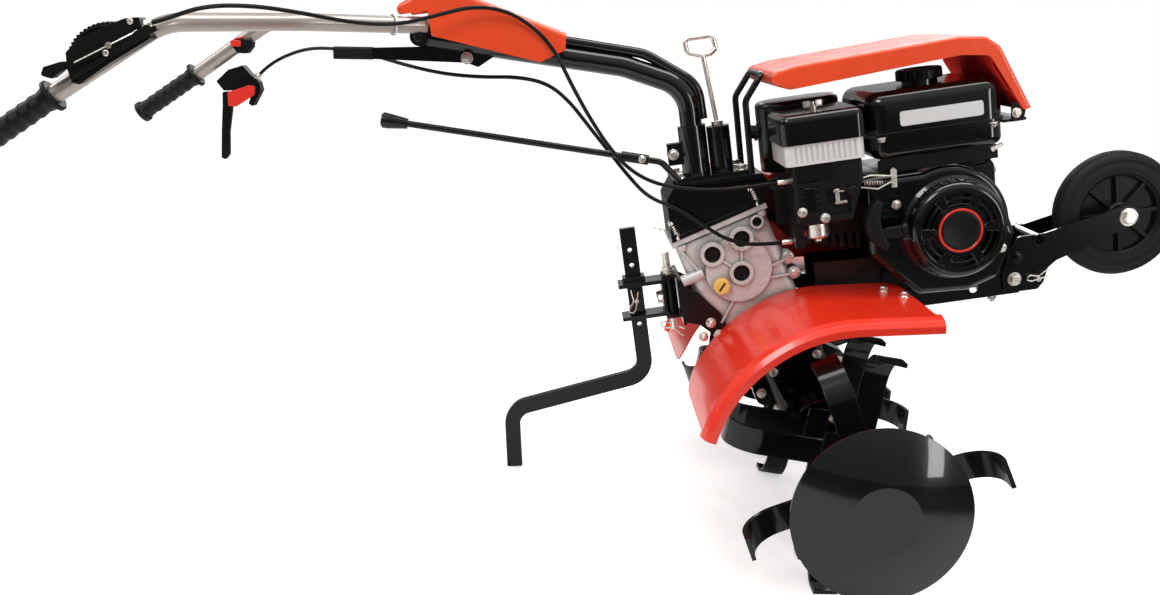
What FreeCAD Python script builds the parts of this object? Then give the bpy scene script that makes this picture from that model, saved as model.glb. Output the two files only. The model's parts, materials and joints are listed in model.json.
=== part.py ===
"""Walk-behind garden tiller with a front transport wheel, as a FreeCAD document.

Millimetres.  The machine frame has X forwards, Y to the operator's left, Z up, and its
origin on the tine shaft's axis; the engine bed is level in it.  The whole machine is then
pitched back until the tines and the drag stake both stand on the floor.
"""
import FreeCAD, Part
import math
import os
import re

import Sketcher
from FreeCAD import Placement, Rotation, Vector

os.makedirs("parts", exist_ok=True)
doc = FreeCAD.newDocument("garden_tiller")

RIGHT = -1
LEFT = 1
SIDES = (("right", RIGHT), ("left", LEFT))

SIZES = (
    # tine rotor
    ("tine_reach", 180, "tine tip from the shaft's axis"),
    ("tine_width", 38, "blade width"),
    ("tine_thick", 6, "blade thickness"),
    ("tine_bend", 45, "inner radius of the blade's bend"),
    ("tine_hook", 66, "blade tip from the inner face of its stem, sideways"),
    ("tine_root", 20, "blade's inner end from the shaft's axis"),
    ("tine_shift", 8, "blade's middle line from the shaft's axis, along the blade's width"),
    ("tine_plate", 84, "square plate that carries four blades"),
    ("plate_thick", 6, "square plate's thickness"),
    ("hub_flats", 36, "tine tube across its flats"),
    ("shaft_flats", 26, "output shaft across its flats"),
    ("hub_start", 66, "tine tube's inner end from the middle"),
    ("hub_end", 400, "tine tube's outer end from the middle"),
    ("tine_first", 124, "first tine cross from the middle"),
    ("tine_pitch", 112, "distance between tine crosses"),
    ("disc_radius", 122, "side disc"),
    ("disc_thick", 3, "side disc's sheet"),
    ("disc_rim", 432, "side disc's rim plane from the middle"),
    ("disc_dish", 20, "how far the disc's middle stands out of its rim plane"),
    ("disc_boss", 48, "radius of the disc's flat middle"),
    ("disc_hub", 24, "disc's hub, radius"),
    # transmission, in its own leaning frame: v forwards, u up
    ("gear_lean", 16, "transmission's lean backwards, degrees"),
    ("gear_rear", -103, "gearbox, rear face"),
    ("gear_front", 47, "gearbox, front face"),
    ("gear_foot", 196, "gearbox, lower joint face"),
    ("gear_top", 372, "gearbox, upper joint face"),
    ("gear_half", 58, "gearbox, half width"),
    ("gear_corner", 14, "gearbox, corner radius"),
    ("gear_joint", 9, "gearbox, height of its upper joint flange"),
    ("face_radius", 52, "gearbox, round bearing housing on its side"),
    ("face_stand", 6, "gearbox, how far the bearing housing stands out"),
    ("boss_radius", 19, "bearing boss"),
    ("boss_bore", 13, "bearing boss's bore"),
    ("boss_stand", 5, "boss above the bearing housing"),
    ("boss_depth", 22, "depth of the bearing bores"),
    ("lug_radius", 10, "gearbox, bolt lug"),
    ("rib_half", 2, "gearbox, half thickness of its ribs"),
    ("arm_radius", 9, "gearbox, arm that carries the hitch"),
    ("plug_radius", 13, "oil plug"),
    ("plug_stand", 12, "oil plug, height"),
    ("case_half", 38, "lower case, half width"),
    ("case_front", 52, "lower case, half depth fore and aft"),
    ("case_round", 56, "lower case's rounded foot"),
    ("flange_height", 74, "lower case's flange, middle"),
    ("flange_thick", 16, "lower case's flange"),
    ("flange_reach", 80, "lower case's flange, half depth"),
    ("outlet_radius", 40, "output bearing housing"),
    ("outlet_half", 60, "output bearing housings, half width"),
    # bed
    ("bed_deck", 201, "bed channel, top, the engine's foot"),
    ("bed_depth", 36, "bed channel, depth"),
    ("bed_half", 36, "bed channel, half width outside"),
    ("bed_sheet", 4, "bed channel's sheet"),
    ("bed_front", 355, "bed channel, front end"),
    ("deck_half", 58, "engine plate, half width"),
    ("tie_hole", 7, "tie-down hole through the bed channel"),
    ("tie_x", 268, "tie-down hole, forwards"),
    ("tie_drop", 20, "tie-down hole below the engine plate"),
    # engine, from the crankshaft and from the bed
    ("crank_x", 214, "crankshaft's axis, forwards"),
    ("crank_rise", 106, "crankshaft's axis above the engine plate"),
    ("block_ahead", 86, "crankcase, front from the crankshaft"),
    ("block_behind", 94, "crankcase, rear from the crankshaft"),
    ("block_rise", 194, "crankcase, top above the engine plate"),
    ("foot_half", 50, "crankcase foot, half width"),
    ("foot_rise", 35, "crankcase foot, height"),
    ("block_near", -72, "crankcase, right face"),
    ("block_far", 84, "crankcase, left face"),
    ("head_reach", 232, "cylinder head's rear end from the crankshaft"),
    ("head_rise", 67, "cylinder's underside above the engine plate"),
    ("fin_gap", 6, "gap between the cylinder's fins"),
    ("fin_depth", 11, "depth of the cylinder's fins"),
    ("fin_pitch", 13, "distance between the cylinder's fins"),
    ("shroud_depth", 44, "fan shroud, depth"),
    ("shroud_radius", 90, "fan shroud, outer radius"),
    ("shroud_round", 9, "fan shroud, rounding of its front edge"),
    ("starter_radius", 78, "starter housing, outer radius"),
    ("starter_depth", 46, "starter housing in front of the shroud"),
    ("slot_inner", 40, "starter's inner row of air slots, inner radius"),
    ("slot_outer", 50, "starter's outer row of air slots, inner radius"),
    ("slot_width", 6, "starter's air slots, width"),
    ("slot_spread", 23, "starter's air slots, half their angle, degrees"),
    ("slot_depth", 12, "starter's air slots, depth"),
    ("hub_disc", 33, "round badge seat on the starter, radius"),
    ("pull_grip", 78, "starter's pull handle, length"),
    ("pull_thick", 22, "starter's pull handle, thickness sideways"),
    ("tank_behind", 118, "fuel tank, rear from the crankshaft"),
    ("tank_ahead", 92, "fuel tank, front from the crankshaft"),
    ("tank_rise", 219, "fuel tank's underside above the engine plate"),
    ("tank_lower", 37, "fuel tank, height of its lower half"),
    ("tank_upper", 63, "fuel tank, height of its upper half"),
    ("tank_near", -128, "fuel tank, right side"),
    ("tank_far", 62, "fuel tank, left side"),
    ("tank_inset", 5, "fuel tank's halves behind its seam"),
    ("tank_corner", 26, "fuel tank, corner radius"),
    ("tank_shoulder", 20, "fuel tank, upper edge radius"),
    ("seam_thick", 5, "fuel tank's seam flange"),
    ("neck_radius", 27, "fuel tank's neck"),
    ("neck_rise", 5, "fuel tank's neck above the tank"),
    ("cap_radius", 35, "fuel cap"),
    ("cap_height", 16, "fuel cap"),
    ("cap_behind", 7, "fuel cap behind the crankshaft"),
    ("cap_side", -30, "fuel cap, sideways"),
    ("cleaner_behind", 246, "air cleaner, rear from the crankshaft"),
    ("cleaner_ahead", 122, "air cleaner, front from the crankshaft, to the rear of it"),
    ("cleaner_rise", 231, "air cleaner's foot above the engine plate"),
    ("cleaner_lower", 31, "air cleaner's base, height"),
    ("cleaner_upper", 44, "air cleaner's cover, height"),
    ("cleaner_near", -145, "air cleaner, right side"),
    ("cleaner_far", -20, "air cleaner, left side"),
    ("cleaner_lip", 3, "air cleaner's cover past its base"),
    ("rib_pitch", 8, "air cleaner, distance between its ribs"),
    ("rib_gap", 3, "air cleaner, gap between its ribs"),
    ("carb_height", 92, "carburettor cover"),
    ("bowl_radius", 17, "fuel bowl"),
    ("bowl_height", 24, "fuel bowl"),
    ("muffler_width", 96, "muffler, sideways"),
    ("muffler_height", 110, "muffler"),
    ("muffler_round", 42, "muffler, corner radius seen from above"),
    ("belt_gap", 6, "belt cover from the engine"),
    ("belt_width", 54, "belt cover, sideways"),
    ("belt_round", 78, "belt cover round the engine's pulley"),
    ("belt_rear", 92, "belt cover round the gearbox's pulley"),
    ("belt_x", -98, "gearbox's pulley, forwards"),
    ("belt_z", 326, "gearbox's pulley, height"),
    # wheel
    ("pivot_x", 330, "fork's pivot bolt, forwards"),
    ("pivot_drop", 10, "fork's pivot bolt below the engine plate"),
    ("pivot_radius", 6, "fork's pivot bolt"),
    ("fork_reach", 185, "front wheel's axle ahead of the pivot"),
    ("fork_rise", 74, "front wheel's axle above the pivot"),
    ("tyre_radius", 100, "front wheel"),
    ("tyre_half", 19, "tyre, half width"),
    ("tyre_round", 9, "tyre, shoulder radius"),
    ("tread_inner", 68, "tyre, inner radius"),
    ("rim_half", 15, "rim, half width"),
    ("rim_lip", 7, "rim, depth of its outer ring"),
    ("rim_web", 4, "rim, half thickness of its web"),
    ("wheel_hub", 20, "wheel hub's radius"),
    ("spoke_half", 3, "rim, half thickness of its spokes"),
    ("axle_radius", 6, "axle bolt"),
    ("axle_play", 0.05, "running clearance on the axle"),
    ("fork_half", 46, "fork, half width outside"),
    ("fork_sheet", 5, "fork's plates"),
    ("lock_ahead", 36.5, "fork's lock pin ahead of the pivot"),
    ("lock_drop", 4, "fork's lock pin below the pivot"),
    ("lock_pin_radius", 4, "fork's lock pin"),
    ("pin_play", 0.05, "running clearance on pins"),
    ("tube_ahead", 42, "fork's cross tube ahead of the pivot"),
    ("tube_rise", 58, "fork's cross tube above the pivot"),
    ("tube_radius", 9.5, "fork's cross tube"),
    ("tube_bore", 7, "fork's cross tube, inside"),
    ("bolt_past", 8, "bolts past the fork's plates"),
    # hood
    ("hood_near", -125, "hood, right side"),
    ("hood_far", 110, "hood, left side"),
    ("hood_sheet", 4, "hood's moulded wall"),
    # mudguards
    ("guard_radius", 228, "mudguard's sheet from the shaft's axis"),
    ("guard_sheet", 2, "mudguard's sheet"),
    ("guard_inner", 62, "mudguard, inner edge from the middle"),
    ("guard_outer", 318, "mudguard, outer edge from the middle"),
    ("guard_rear", 156, "mudguard's rear edge, degrees from forwards"),
    ("guard_turn", 84, "where the mudguard's arc ends, degrees from forwards"),
    ("guard_nose", 113, "mudguard's straight front"),
    ("guard_lip", 14, "mudguard's rolled lip, height"),
    ("guard_ridge", 5, "mudguard's pressed ridge, height"),
    ("guard_band", 26, "mudguard's ridge, width beside the lip"),
    ("guard_corner", 40, "mudguard's inner rear corner"),
    # handlebar
    ("column_x", -147, "column's axis, forwards"),
    ("column_radius", 17, "column tube"),
    ("brace_radius", 8, "small tube along the column"),
    ("sleeve_radius", 22, "column sleeve, outside"),
    ("sleeve_foot", 424, "column sleeve, foot"),
    ("sleeve_height", 76, "column sleeve"),
    ("sleeve_plate", 6, "column sleeve's plate"),
    ("lock_x", -106, "lock rod's tube, forwards"),
    ("lock_radius", 18, "lock rod's tube"),
    ("lock_rod", 3.5, "lock rod"),
    ("bar_radius", 12.5, "handlebar tube"),
    ("yoke_radius", 14, "cross tube that carries the handlebars"),
    ("yoke_half", 66, "cross tube that carries the handlebars, half width"),
    ("grip_radius", 16, "grip"),
    ("grip_length", 130, "grip"),
    ("grip_flange", 22, "grip's flange, radius"),
    ("cover_half", 80, "handle cover, half width"),
    ("column_play", 0.05, "running clearance in the sleeve"),
    ("cable_radius", 3, "control cable"),
    # rear hitch
    ("hitch_pin_x", -213, "hitch pin's axis"),
    ("hitch_foot", 204, "drag stake's holder, lower leaf"),
    ("hitch_top", 258, "drag stake's holder, upper leaf"),
    ("hitch_leaf", 6, "drag stake's holder, thickness of its leaves"),
    ("hitch_pin_radius", 6, "hitch pin"),
    ("stake_x", -282, "drag stake's holder hole, rear"),
    ("stake_width", 25, "drag stake's bar, fore and aft"),
    ("stake_thick", 12, "drag stake's bar, sideways"),
    ("stake_top", 352, "drag stake's upper end"),
    ("stake_hole", 4, "drag stake's holes, radius"),
    ("stake_play", 0.6, "drag stake in its holder"),
    ("stake_foot_x", -520, "drag stake's foot, rear corner, forwards"),
    ("stake_foot_z", -20, "drag stake's foot, height"),
    ("stake_bend", 32, "drag stake's bends, radius at the bar's middle"),
    ("foot_run", 99, "drag stake's lower run"),
    ("foot_lean", 6, "drag stake's lower run, lean in degrees"),
    ("knee_height", 106, "drag stake's upper bend, height"),
)

# Sizes that follow from the sheet's own, each as a formula.
DERIVED = {
    "bed_floor": "bed_deck - bed_depth",
    "tie_z": "bed_deck - tie_drop",
    "crank_z": "bed_deck + crank_rise",
    "block_front": "crank_x + block_ahead",
    "block_rear": "crank_x - block_behind",
    "block_top": "bed_deck + block_rise",
    "foot_top": "bed_deck + foot_rise",
    "deck_rear": "block_rear - 8",
    "deck_front": "block_front - 4",
    "head_rear": "crank_x - head_reach",
    "head_floor": "bed_deck + head_rise",
    "shroud_front": "block_near - shroud_depth",
    "starter_front": "shroud_front - starter_depth",
    "tank_rear": "crank_x - tank_behind",
    "tank_front": "crank_x + tank_ahead",
    "tank_floor": "bed_deck + tank_rise",
    "tank_seam": "tank_floor + tank_lower",
    "tank_top": "tank_seam + tank_upper",
    "cleaner_rear": "crank_x - cleaner_behind",
    "cleaner_front": "crank_x - cleaner_ahead",
    "cleaner_foot": "bed_deck + cleaner_rise",
    "cleaner_band": "cleaner_foot + cleaner_lower",
    "cleaner_top": "cleaner_band + cleaner_upper",
    "carb_foot": "cleaner_foot - carb_height",
    "muffler_foot": "block_top + 12",
    "muffler_top": "muffler_foot + muffler_height",
    "belt_near": "block_far + belt_gap",
    "belt_far": "belt_near + belt_width",
    "pivot_z": "bed_deck - pivot_drop",
    "wheel_x": "pivot_x + fork_reach",
    "wheel_z": "pivot_z + fork_rise",
    "lock_pin_x": "pivot_x + lock_ahead",
    "lock_pin_z": "pivot_z - lock_drop",
    "tube_x": "pivot_x + tube_ahead",
    "tube_z": "pivot_z + tube_rise",
    "sleeve_top": "sleeve_foot + sleeve_height",
    "cover_top": "sleeve_foot - sleeve_plate",
}

# Outlines and paths, each as points (forwards, up) from a place of its own.
PLACES = {
    "hood": ("crank_x", "bed_deck", (
        (-282, 365), (-223, 342), (29, 357), (71, 351), (116, 265), (128, 267), (88, 362),
        (67, 379), (29, 384), (-210, 376))),
    "fork": ("pivot_x", "pivot_z", (
        (-17, -21), (36, -21.5), (46, -11), (54, 11), (68, 21), (196, 61), (204, 73),
        (200, 87), (183, 93), (52, 67), (10, 67), (-17, 9))),
    "column": ("column_x", "sleeve_top", ((0, 60), (-93, 106), (-393, 194))),
    "brace": ("column_x", "sleeve_top", ((19, 8), (17, 63), (-58, 120), (-150, 148))),
    "arm": ("column_x", "sleeve_top", (
        (-527, 180), (-525, 194), (-334, 171), (-287, 150), (-317, 136), (-334, 145))),
    "cover": ("column_x", "sleeve_top", (
        (-427, 240), (-377, 194), (-220, 132), (-180, 144), (-175, 168), (-309, 242),
        (-373, 260))),
}

TINE_TURNS = (0, 0, 60)
STAKE_HOLES = (36, 61, 160)

LETTERS = "abcdefghijklmnop"
SIZE_NAMES = set()

sheet = doc.addObject("Spreadsheet::Sheet", "Sizes")


def enter_size(name, value, meaning):
    SIZE_NAMES.add(name)
    row = len(SIZE_NAMES)
    sheet.set("A%d" % row, name)
    sheet.set("B%d" % row, str(value))
    sheet.set("C%d" % row, meaning)
    sheet.setAlias("B%d" % row, name)


for size in SIZES:
    enter_size(*size)
for place_name, (home_x, home_z, spots) in PLACES.items():
    for letter, (ahead, up) in zip(LETTERS, spots):
        enter_size("%s_%s_x" % (place_name, letter), ahead, "%s, point %s" % (place_name, letter))
        enter_size("%s_%s_z" % (place_name, letter), up, "%s, point %s" % (place_name, letter))
doc.recompute()


def ex(text):
    """The expression for a size written with the sheet's bare names and the derived ones."""
    def swap(word):
        name = word.group(0)
        if name in DERIVED:
            return "(%s)" % ex(DERIVED[name])
        return "Sizes." + name if name in SIZE_NAMES else name
    return re.sub(r"[a-z][a-z_]*", swap, text)


def num(text):
    """The present value of a size written with the same names."""
    value = sheet.evalExpression(ex(text))
    return float(getattr(value, "Value", value))


def spots(name):
    """A place's points as pairs of expressions in the machine frame."""
    home_x, home_z, points = PLACES[name]
    return [("%s + %s_%s_x" % (home_x, name, letter), "%s + %s_%s_z" % (home_z, name, letter))
            for letter, point in zip(LETTERS, points)]


def spot_values(name):
    return [(num(across), num(up)) for across, up in spots(name)]


# ---- PartDesign helpers --------------------------------------------------------------

def start_body(label):
    body = doc.addObject("PartDesign::Body", label)
    body.Label = label
    return body


def start_sketch(body, role, offset="0"):
    """A sketch on one of the body's own planes, moved along that plane's normal."""
    sketch = body.newObject("Sketcher::SketchObject", body.Label + "_sketch")
    plane = next(item for item in body.Origin.OriginFeatures if item.Role == role)
    sketch.AttachmentSupport = (plane, "")
    sketch.MapMode = "FlatFace"
    sketch.setExpression("AttachmentOffset.Base.z", ex(offset))
    return sketch


def fix_point(sketch, geometry, end, across, up):
    """Hold one point of the sketch at two sizes from the sketch's origin."""
    for kind, text in (("DistanceX", across), ("DistanceY", up)):
        index = sketch.addConstraint(Sketcher.Constraint(kind, -1, 1, geometry, end, num(text)))
        sketch.setExpression("Constraints[%d]" % index, ex(text))


def via(across, up):
    """A point of an outline that an arc passes through between its two neighbours."""
    return (across, up, "arc")


def add_outline(sketch, corners):
    """A closed outline through the corners, each held by its sizes."""
    def point(corner):
        return Vector(num(corner[0]), num(corner[1]), 0)
    runs = []
    count = len(corners)
    for index, corner in enumerate(corners):
        if len(corner) == 3:
            continue
        following = corners[(index + 1) % count]
        if len(following) == 2:
            line = Part.LineSegment(point(corner), point(following))
            runs.append((sketch.addGeometry(line), 1, 2, corner))
            continue
        ahead = corners[(index + 2) % count]
        arc = sketch.addGeometry(Part.Arc(point(corner), point(following), point(ahead)))
        middle = sketch.addGeometry(Part.Point(point(following)), True)
        fix_point(sketch, middle, 1, following[0], following[1])
        sketch.addConstraint(Sketcher.Constraint("PointOnObject", middle, 1, arc))
        first = sketch.getPoint(arc, 1)
        forwards = first.distanceToPoint(point(corner)) < first.distanceToPoint(point(ahead))
        runs.append((arc, 1, 2, corner) if forwards else (arc, 2, 1, corner))
    for index, (geometry, start, end, corner) in enumerate(runs):
        following = runs[(index + 1) % len(runs)]
        sketch.addConstraint(Sketcher.Constraint("Coincident", geometry, end,
                                                 following[0], following[1]))
    for geometry, start, end, corner in runs:
        fix_point(sketch, geometry, start, corner[0], corner[1])


def add_circle(sketch, across, up, radius):
    centre = Vector(num(across), num(up), 0)
    index = sketch.addGeometry(Part.Circle(centre, Vector(0, 0, 1), num(radius)))
    fix_point(sketch, index, 3, across, up)
    size = sketch.addConstraint(Sketcher.Constraint("Radius", index, num(radius)))
    sketch.setExpression("Constraints[%d]" % size, ex(radius))


def pad(body, sketch, length, both=False):
    feature = body.newObject("PartDesign::Pad", body.Label + "_pad")
    feature.Profile = sketch
    feature.SideType = "Symmetric" if both else "One side"
    feature.setExpression("Length", ex(length))
    return feature


def pocket(body, sketch, length, both=False, back=False):
    feature = body.newObject("PartDesign::Pocket", body.Label + "_pocket")
    feature.Profile = sketch
    feature.SideType = "Symmetric" if both else "One side"
    feature.Reversed = back
    feature.setExpression("Length", ex(length))
    return feature


def revolve(body, sketch, axis="H_Axis"):
    feature = body.newObject("PartDesign::Revolution", body.Label + "_revolution")
    feature.Profile = sketch
    feature.ReferenceAxis = (sketch, [axis])
    feature.Angle = 360
    return feature


def repeat_round(body, original, role, count):
    """Repeat the last feature round one of the body's own axes."""
    doc.recompute()
    axis = next(item for item in body.Origin.OriginFeatures if item.Role == role)
    feature = body.newObject("PartDesign::PolarPattern", body.Label + "_polar")
    feature.Originals = [original]
    feature.Axis = (axis, [""])
    feature.Angle = 360
    feature.Occurrences = count
    body.Tip = feature
    return feature


def repeat_along(body, original, role, count, pitch, back=False):
    """Repeat the last feature along one of the body's own axes."""
    doc.recompute()
    axis = next(item for item in body.Origin.OriginFeatures if item.Role == role)
    feature = body.newObject("PartDesign::LinearPattern", body.Label + "_row")
    feature.Originals = [original]
    feature.Direction = (axis, [""])
    feature.Reversed = back
    feature.Occurrences = count
    feature.setExpression("Length", ex("(%s) * %d" % (pitch, count - 1)))
    body.Tip = feature
    return feature


def slab(body, corners, left, right):
    """Pad a side outline (x, z) between two planes, from the left one to the right one."""
    sketch = start_sketch(body, "XZ_Plane", "-(%s)" % left)
    add_outline(sketch, corners)
    return pad(body, sketch, "(%s) - (%s)" % (left, right))


def upright(body, corners, floor, top):
    """Pad a plan outline (x, y) from one height to another."""
    sketch = start_sketch(body, "XY_Plane", floor)
    add_outline(sketch, corners)
    return pad(body, sketch, "(%s) - (%s)" % (top, floor))


def recess(body, corners, surface, depth):
    """Cut a side outline (x, z) into a face that looks to the right at the given plane."""
    sketch = start_sketch(body, "XZ_Plane", "-(%s)" % surface)
    add_outline(sketch, corners)
    return pocket(body, sketch, depth)


def box_corners(rear, front, floor, top):
    return ((rear, floor), (front, floor), (front, top), (rear, top))


def round_edges(body, radius, *tests):
    """Fillet the edges of the body's present shape that pass every test."""
    doc.recompute()
    base = body.Tip
    names = ["Edge%d" % number for number, edge in enumerate(base.Shape.Edges, start=1)
             if all(test(edge) for test in tests)]
    feature = body.newObject("PartDesign::Fillet", body.Label + "_fillet")
    feature.Base = (base, names)
    feature.setExpression("Radius", ex(radius))
    return feature


def runs_along(axis):
    """A test for straight edges that run along x, y or z."""
    def test(edge):
        straight = isinstance(edge.Curve, Part.Line)
        return straight and abs(getattr(edge.Curve.Direction, axis)) > 0.999
    return test


def edge_points(edge):
    first, last = edge.ParameterRange
    return [edge.valueAt(first + (last - first) * step / 4) for step in range(5)]


def lies_at(axis, place):
    """A test for edges that lie whole in one plane across an axis."""
    def test(edge):
        level = num(place)
        return all(abs(getattr(point, axis) - level) < 0.01 for point in edge_points(edge))
    return test


def between(axis, low, high):
    """A test for edges that lie whole between two planes across an axis."""
    def test(edge):
        floor = num(low) - 0.01
        top = num(high) + 0.01
        return all(floor <= getattr(point, axis) <= top for point in edge_points(edge))
    return test


# ---- shapes made with Part's own functions ------------------------------------------

def feature(label, shape):
    """A sub-part whose shape comes from Part's own functions."""
    part = doc.addObject("Part::Feature", label)
    part.Label = label
    part.Shape = shape
    return part


def rounded_path(points, radii):
    """A wire of straight runs joined by tangent arcs; one radius for each inner point."""
    edges = []
    start = points[0]
    for index, radius in enumerate(radii, start=1):
        corner = points[index]
        back = (points[index - 1] - corner).normalize()
        ahead = (points[index + 1] - corner).normalize()
        half = math.radians(180 - math.degrees(back.getAngle(ahead))) / 2
        reach = radius * math.tan(half)
        arc_start = corner + back * reach
        arc_end = corner + ahead * reach
        middle_line = (back + ahead).normalize()
        centre = corner + middle_line * (radius / math.cos(half))
        arc_middle = centre - middle_line * radius
        edges.append(Part.LineSegment(start, arc_start).toShape())
        edges.append(Part.Arc(arc_start, arc_middle, arc_end).toShape())
        start = arc_end
    edges.append(Part.LineSegment(start, points[-1]).toShape())
    return Part.Wire(edges)


def tube_along(points, radii, radius):
    """A round bar swept along straight runs and tangent arcs."""
    path = rounded_path(points, radii)
    direction = points[1] - points[0]
    ring = Part.Wire(Part.Circle(points[0], direction, radius).toShape())
    return path.makePipeShell([ring], True, False)


def flat_bar_along(points, radii, width, thick):
    """A flat bar swept along a path in the XZ plane, its thickness sideways."""
    path = rounded_path(points, radii)
    direction = (points[1] - points[0]).normalize()
    across = Vector(-direction.z, 0, direction.x) * (width / 2)
    side = Vector(0, thick / 2, 0)
    corners = [points[0] + across * a + side * b for a, b in ((-1, -1), (1, -1), (1, 1), (-1, 1))]
    ring = Part.makePolygon(corners + corners[:1])
    return path.makePipeShell([ring], True, False)


def bar_between(start, end, radius):
    return Part.makeCylinder(radius, (end - start).Length, start, end - start)


def cross_bar(x, z, radius, left, right):
    """A round bar that runs sideways from the left plane to the right one."""
    return Part.makeCylinder(radius, left - right, Vector(x, right, z), Vector(0, 1, 0))


def side_plate(points, left, right, corner=0):
    """A flat plate cut to a side outline (x, z), its corners rounded."""
    corners = [Vector(x, right, z) for x, z in points]
    face = Part.Face(Part.makePolygon(corners + corners[:1]))
    plate = face.extrude(Vector(0, left - right, 0))
    if corner:
        sideways = [edge for edge in plate.Edges if runs_along("y")(edge)]
        plate = plate.makeFillet(corner, sideways)
    return plate


def box_between(low, high):
    return Part.makeBox(high[0] - low[0], high[1] - low[1], high[2] - low[2], Vector(*low))


def spun(profile, start, direction):
    """A solid of revolution from (distance along, radius) points, laid along a direction."""
    corners = [Vector(radius, 0, along) for along, radius in profile]
    face = Part.Face(Part.makePolygon(corners + corners[:1]))
    solid = face.revolve(Vector(0, 0, 0), Vector(0, 0, 1), 360)
    solid.Placement = Placement(start, Rotation(Vector(0, 0, 1), direction))
    return solid


def hexagon_bar(flats, near, far):
    """A hexagonal bar along the Y axis, a flat facing up."""
    corner = flats / math.sqrt(3)
    points = [Vector(corner * math.cos(math.radians(60 * step)), near,
                     corner * math.sin(math.radians(60 * step))) for step in range(6)]
    face = Part.Face(Part.makePolygon(points + points[:1]))
    return face.extrude(Vector(0, far - near, 0))


def turned(shape, degrees):
    """The shape turned about the Y axis, nose up for positive angles."""
    copy = shape.copy()
    copy.rotate(Vector(0, 0, 0), Vector(0, 1, 0), -degrees)
    return copy


PIECES = []


def keep(part, place=None):
    """Note a finished sub-part with its place in the machine frame."""
    PIECES.append((part, place or Placement()))
    return part


def at(x, y, z, nose_up=0):
    return Placement(Vector(x, y, z), Rotation(Vector(0, 1, 0), -nose_up))


LEANING = at(0, 0, 0, num("gear_lean"))

# The machine stands on the flat tip of one tine a side and on the drag stake's foot.
AXLE_HEIGHT = num("tine_reach")
STAKE_FOOT = Vector(num("stake_foot_x"), 0, num("stake_foot_z"))
PARK_PITCH = math.degrees(math.asin(AXLE_HEIGHT / STAKE_FOOT.Length)
                          - math.atan2(-STAKE_FOOT.z, -STAKE_FOOT.x))


def case_face(height):
    """Where the lower case's front face is, forwards, at a height in the machine frame."""
    return "case_front / cos(gear_lean * 1deg) - (%s) * tan(gear_lean * 1deg)" % height


def leaning(v, u):
    """A point of the transmission's leaning frame as (x, z) in the machine frame."""
    return ("(%s) * cos(gear_lean * 1deg) - (%s) * sin(gear_lean * 1deg)" % (v, u),
            "(%s) * sin(gear_lean * 1deg) + (%s) * cos(gear_lean * 1deg)" % (v, u))


# ---- bed and engine -------------------------------------------------------------------

def make_bed():
    body = start_body("bed_frame")
    slab(body, ((case_face("bed_floor"), "bed_floor"), ("bed_front - 16", "bed_floor"),
                ("bed_front", "bed_floor + bed_depth / 2"), ("bed_front", "bed_deck"),
                (case_face("bed_deck"), "bed_deck")), "bed_half", "-bed_half")
    hollow = start_sketch(body, "XZ_Plane")
    add_outline(hollow, box_corners("-case_front", "bed_front + 1", "bed_floor - 1",
                                    "bed_deck - bed_sheet"))
    pocket(body, hollow, "2 * (bed_half - bed_sheet)", both=True)
    slab(body, box_corners("deck_rear", "deck_front", "bed_deck - bed_sheet", "bed_deck"),
         "deck_half", "-deck_half")
    pivot = start_sketch(body, "XZ_Plane")
    add_circle(pivot, "pivot_x", "pivot_z", "pivot_radius")
    add_circle(pivot, "tie_x", "tie_z", "tie_hole")
    pocket(body, pivot, "2 * bed_half + 2", both=True)
    keep(body)


def make_engine():
    body = start_body("engine_block")
    slab(body, box_corners("block_rear", "block_front", "foot_top", "block_top"),
         "block_far", "block_near")
    round_edges(body, "16", runs_along("y"))
    slab(body, (("block_rear + 20", "block_top - 4"), ("head_rear", "block_top + 12"),
                ("head_rear", "head_floor + 38"), ("block_rear + 20", "head_floor")),
         "block_far - 6", "block_near")
    fins = start_sketch(body, "XZ_Plane")
    add_outline(fins, (("head_rear + 14", "head_floor - 20"),
                       ("head_rear + 14 + fin_gap", "head_floor - 20"),
                       ("head_rear + 14 + fin_gap", "head_floor + 30 + fin_depth"),
                       ("head_rear + 14", "head_floor + 30 + fin_depth")))
    cut = pocket(body, fins, "2 * block_far + 20", both=True)
    repeat_along(body, cut, "X_Axis", 8, "fin_pitch")
    slab(body, box_corners("head_rear - 18", "head_rear", "head_floor + 62", "block_top - 8"),
         "block_far - 30", "block_near + 30")
    slab(body, box_corners("block_rear", "block_front", "bed_deck", "foot_top"),
         "foot_half", "-foot_half")
    keep(body)


def make_shroud():
    body = start_body("fan_shroud")
    slab(body, (("block_rear - 32", "block_top - 4"), ("crank_x - 36", "block_top - 4"),
                via("crank_x + 0.53 * shroud_radius", "crank_z + 0.848 * shroud_radius"),
                ("crank_x + shroud_radius", "crank_z"), ("block_front + 11", "crank_z - 26"),
                ("crank_x + 67", "crank_z - 90"), ("crank_x + 21", "crank_z - 105"),
                ("crank_x - 55", "crank_z - 101"), ("crank_x - 123", "crank_z - 33")),
         "block_near", "shroud_front")
    round_edges(body, "14", runs_along("y"), between("z", "crank_z - 110", "crank_z"))
    round_edges(body, "shroud_round", lies_at("y", "shroud_front"))
    slot = start_sketch(body, "XZ_Plane", "-shroud_front")
    add_outline(slot, box_corners("crank_x - 112", "crank_x - 74", "block_top - 20",
                                  "block_top - 14"))
    cut = pocket(body, slot, "8", back=False)
    repeat_along(body, cut, "Z_Axis", 5, "10.5", back=True)
    keep(body)


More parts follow.
